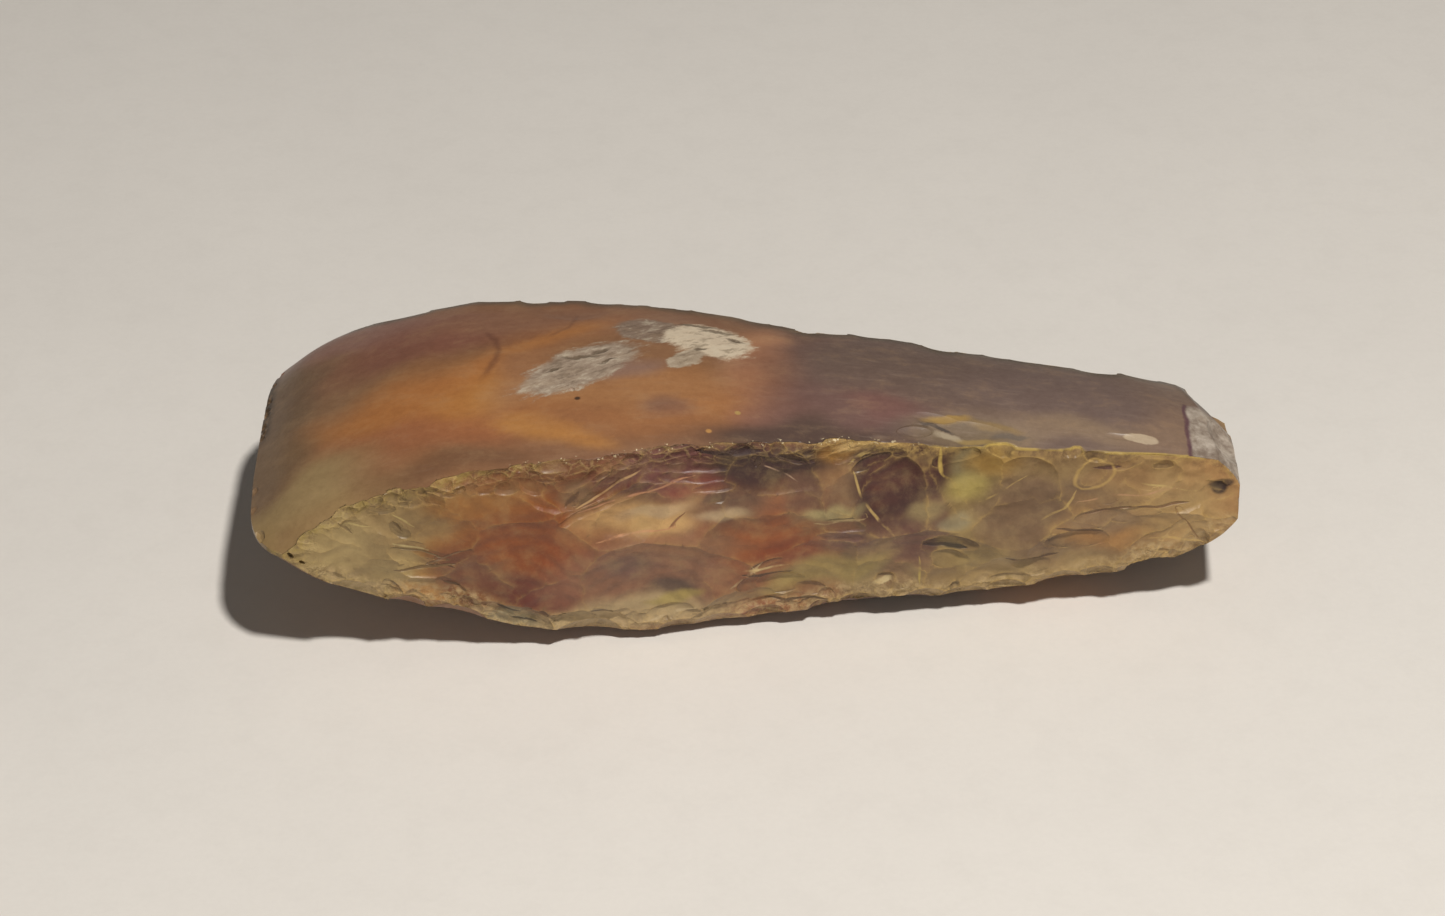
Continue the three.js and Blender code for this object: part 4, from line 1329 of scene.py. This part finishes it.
    stops = seamRind["along"]
    low, high = stops[0][0], stops[-1][0]
    ramp = [((at - low) / (high - low), paint(seamRind[name], sheen)) for at, name in stops]
    rind = f.node("ValToRGB", {"stops": ramp}, {0: (x - low) / (high - low)})
    crumbs = f.grain(place, flint["crumbSize"], 5, 0.7)
    shattered = f.vector("MULTIPLY", closely, (0.75, 1, 1.1))
    dish = cells(shattered, flint["dishSize"])
    rims = cells(shattered, flint["dishSize"], "DISTANCE_TO_EDGE")
    battered = (1 - isGround) * (1 - (seam - 2.4).step(-1, 3)) * cloud.step(0.35, 0.6)
    battered = battered * (1 - x.step(24, 38) * isTop)
    rind = f.mix(isTop, paint(seamRind["lower"], sheen), rind)
    darkCrumbs = (1 - seam.step(0, 4)) * crumbs.step(0.5, 0.32) * (0.35 + 0.15 * isTop)
    flaked = f.mix(darkCrumbs, flaked, paint(flint["crumbs"], sheen))
    rindReach = 1 - (seam - (1 - isTop) * 2.5).step(0.4, 3.2)
    rindShare = 0.7 - 0.45 * x.step(26, 44) * isTop
    flaked = f.mix(rindReach * crumbs.step(0.4, 0.62) * rindShare, flaked, rind)
    flaked = f.mix(battered * (1 - rims.step(0.02, 0.1)) * 0.25, flaked, paint(flint["batteredRim"], sheen))
    ridge = f.attribute("ridge")
    crease = f.attribute("crease")
    # painted highlight along convex ridges, stronger towards the butt and by the seams
    ridgeHighlightShare = 0.3 + 0.25 * x.step(5, 34) + 0.3 * (1 - seam.step(1, 4))
    broken = f.grain(place, 5, 3, 0.6).step(0.38, 0.58)
    flaked = f.mix(ridge * broken * ridgeHighlightShare, flaked, paint(flint["ridge"], sheen))
    # painted shade in concave creases
    flaked = f.mix(crease * (0.15 + broken * 0.4), flaked, paint(flint["crease"], sheen))
    # lines on the near side: pale ones a painted highlight on ridges and step lips, dark ones a painted
    # shadow under the lips
    drawn = 1 - abs(f.attribute("lineSide")).step(0.4, 1.3)
    drawn = drawn * (1 - f.attribute("lineNear").step(0.9, 1.5))
    stepShadowed = drawn * f.attribute("lineTint", "Alpha")
    flaked = f.mix(drawn * broken.most(stepShadowed) * 0.85, flaked, f.attribute("lineTint", "Color"))
    tint, a, b, ra, rb, turn, width, strength = n["ring"]
    ringed = outline(drifting, a, b, ra, rb, turn, width, "side") * isNear
    flaked = f.mix(ringed * strength, flaked, paint(tint, sheen))

    colour = f.mix(isGround, flaked, ground)
    seamLine = (1 - seam.step(0.1, 0.55)) * x.step(33, 37) * (1 - x.step(86, 89)) * isNear * isTop
    seamLine = seamLine * f.grain(place, 7, 3).step(0.3, 0.5)
    colour = f.mix(seamLine * 0.85, colour, paint(seamRind["line"], sheen))

    # cortex over the upper part of the butt
    butt = f.attribute("butt").step(0.3, 0.6)
    edge = x + f.grain(place, 4, 4) * 1.6
    endFace = isGround.most(butt) * z.step(23, 26)
    endFace = endFace * (1 - (y + f.grain(place, 5, 3) * 3).step(3, 5))
    line = edge.step(g["cortexFrom"], g["cortexFrom"] + 0.5) * endFace
    cortex = edge.step(g["cortexFrom"] + 0.7, g["cortexFrom"] + 1.5) * endFace
    mottle = f.grain(place, flint["mottleSize"], 6, 0.65)
    grey = f.mix(mottle.step(0.32, 0.7), paint(g["cortexShade"]), paint(g["cortex"]))
    colour = f.mix(line, colour, paint(g["cortexLine"]))
    colour = f.mix(cortex, colour, grey)

    # fine clouding everywhere, and streaks along the ground faces
    fine = f.grain(place, flint["fineSize"], 6, 0.72)
    colour = shaded(colour, fine.step(0.35, 0.72) * 0.32, flint["fineShade"])
    wisp = f.grain(f.vector("MULTIPLY", closely, (0.5, 1, 1)), 4, 7, 0.72)
    colour = shaded(colour, wisp.step(0.45, 0.7) * isGround * 0.28, flint["wispShade"])
    colour = f.mix(wisp.step(0.52, 0.3) * isGround * 0.14, colour, paint(flint["paleWisp"]))
    streak = f.grain(f.vector("MULTIPLY", place, (0.12, 1, 1)), 1.1, 5, 0.62)
    streaky = streak.step(0.52, 0.78) * isGround * (0.06 + 0.14 * x.step(0, 30))
    colour = f.mix(streaky, colour, paint(flint["streak"]))
    glints = (1 - seam.step(0.3, 1)) * isTop * isNear * x.step(-52, -30)
    glints = glints * f.grain(place, 0.9, 2).step(0.62, 0.68)
    colour = f.mix(glints * 0.8 * (1 - x.step(20, 40)), colour, paint(flint["glint"]))

    # roughness and bump
    rough = flint["roughness"] - flint["groundSmoother"] * isGround + (fine - 0.5) * 0.2
    rough = rough + fossil * 0.2 + cortex * 0.2 + (cloud - 0.5) * 0.16
    rough = rough + spread(place, 42, -14, 14, 4.5, 0, 0.5, "broad") * isTop * 0.3      # the yellow chips
    rough = rough + (1 - seam.step(3, 9)) * (1 - isGround) * isTop * (0.22 + 0.08 * x.step(20, 34))
    scratch = f.grain(f.vector("MULTIPLY", place, (0.12, 2.6, 2.6)), 1, 3, 0.5)
    height = fine * 0.05 + streak * isGround * 0.03 + scratch * isGround * 0.02 - fossilPits * 0.25
    height = height - stepShadowed * 0.2
    height = height + f.grain(place, 0.4, 3, 0.6) * 0.02
    height = height + (1 - isGround) * f.grain(place, 2.6, 5, 0.6) * 0.12
    facet = cells(drifting, flint["facetSize"])
    small = cells(closely, flint["chipSize"])
    height = height + battered * dish * dish * 1.2
    height = height + (1 - isGround) * (facet * facet * 0.9 + small * small * 0.22)
    normal = f.node("Bump", {}, {"Strength": flint["bump"], "Distance": toMetres, "Height": height})
    shader = f.node("BsdfPrincipled", {}, {
        "Base Color": colour, "Roughness": rough, "Normal": normal, "IOR": flint["ior"],
        "Coat Weight": flint["coat"], "Coat Roughness": flint["coatRoughness"],
    })
    return f.finished(shader)


def makeAxe():
    mesh = dressMesh(cutStone())
    axe = bpy.data.objects.new("axe_head_stone", mesh)
    bpy.context.scene.collection.objects.link(axe)
    mesh.materials.append(flintFinish())
    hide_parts("axe_head")
    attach(axe, "root")
    return axe


makeAxe()
say("axe in place")


# Floor, light and camera
studio = {
    "floorSize": 4,
    "paper": (228, 221, 211),
    "sunPlace": (0.27, -0.52, 1.15),
    "sunSize": 0.1,
    "sunPower": 15.5,
    "fillPlace": (-0.3, -1.1, 0.5),
    "fillSize": 0.9,
    "fillPower": 1.4,
    "skyStrength": 0.07,
    "skyColour": (1, 0.98, 0.96, 1),
    "sunColour": (1, 0.99, 0.975),
    "fillColour": (1, 0.99, 0.98),
    "fibreTint": (196, 188, 178),
    "cloudTint": (210, 203, 194),
    "mottleTint": (206, 199, 189),
    "picture": (1445, 916),
    "pixelsPerMm": 5.12,
    "aimPixel": (745, 466),
    "aimHeight": 23.9,
    "elevation": 34,
    "distance": 850,
    "sensor": 36,
}


def makeFloor():
    bm = bmesh.new()
    bmesh.ops.create_grid(bm, x_segments=1, y_segments=1, size=studio["floorSize"] / 2)
    mesh = bpy.data.meshes.new("floor")
    bm.to_mesh(mesh)
    bm.free()
    floor = bpy.data.objects.new("floor", mesh)
    bpy.context.scene.collection.objects.link(floor)
    f = Finish("paper")
    place = f.vector("SCALE", f.node("TexCoord", output="Object"), scale=1 / toMetres)
    fibre = f.grain(place, 1.4, 4, 0.6)
    cloud = f.grain(place, 60, 3, 0.5)
    tone = f.mix(fibre.step(0.2, 0.8) * 0.08, paint(studio["paper"]), paint(studio["fibreTint"]))
    tone = f.mix(cloud.step(0.3, 0.7) * 0.12, tone, paint(studio["cloudTint"]))
    mottle = f.grain(place, 9, 6, 0.7)
    tone = f.mix(mottle.step(0.42, 0.72) * 0.14, tone, paint(studio["mottleTint"]))
    bump = f.node("Bump", {}, {"Strength": 0.3, "Distance": toMetres, "Height": fibre * 0.08})
    mesh.materials.append(f.finished(f.node("BsdfPrincipled", {}, {
        "Base Color": tone, "Roughness": 0.7, "Normal": bump,
    })))


def makeLamp(name, place, size, power, colour):
    lamp = bpy.data.lights.new(name, "AREA")
    lamp.shape = "DISK"
    lamp.size = size
    lamp.energy = power
    lamp.color = colour
    holder = bpy.data.objects.new(name, lamp)
    holder.location = place
    holder.rotation_euler = (-Vector(place)).to_track_quat("-Z", "Y").to_euler()
    bpy.context.scene.collection.objects.link(holder)


def makeCamera():
    s = studio
    tilt = math.radians(s["elevation"])
    up = Vector((0, math.sin(tilt), math.cos(tilt)))
    forward = Vector((0, math.cos(tilt), -math.sin(tilt)))
    right = (s["picture"][0] / 2 - s["aimPixel"][0]) / s["pixelsPerMm"]
    lift = (s["aimPixel"][1] - s["picture"][1] / 2) / s["pixelsPerMm"]
    aim = Vector((right, 0, s["aimHeight"])) + up * lift
    lens = bpy.data.cameras.new("camera")
    lens.sensor_width = s["sensor"]
    lens.lens = s["sensor"] * s["pixelsPerMm"] * s["distance"] / s["picture"][0]
    camera = bpy.data.objects.new("camera", lens)
    camera.location = (aim - forward * s["distance"]) * toMetres
    camera.rotation_euler = forward.to_track_quat("-Z", "Y").to_euler()
    bpy.context.scene.collection.objects.link(camera)
    bpy.context.scene.camera = camera


makeFloor()
makeLamp("key", studio["sunPlace"], studio["sunSize"], studio["sunPower"], studio["sunColour"])
makeLamp("fill", studio["fillPlace"], studio["fillSize"], studio["fillPower"], studio["fillColour"])
world = bpy.data.worlds.new("studio")
world.use_nodes = True
sky = world.node_tree.nodes["Background"].inputs
sky["Color"].default_value = studio["skyColour"]
sky["Strength"].default_value = studio["skyStrength"]
bpy.context.scene.world = world
bpy.context.scene.view_settings.view_transform = "Standard"
makeCamera()
say("studio ready")
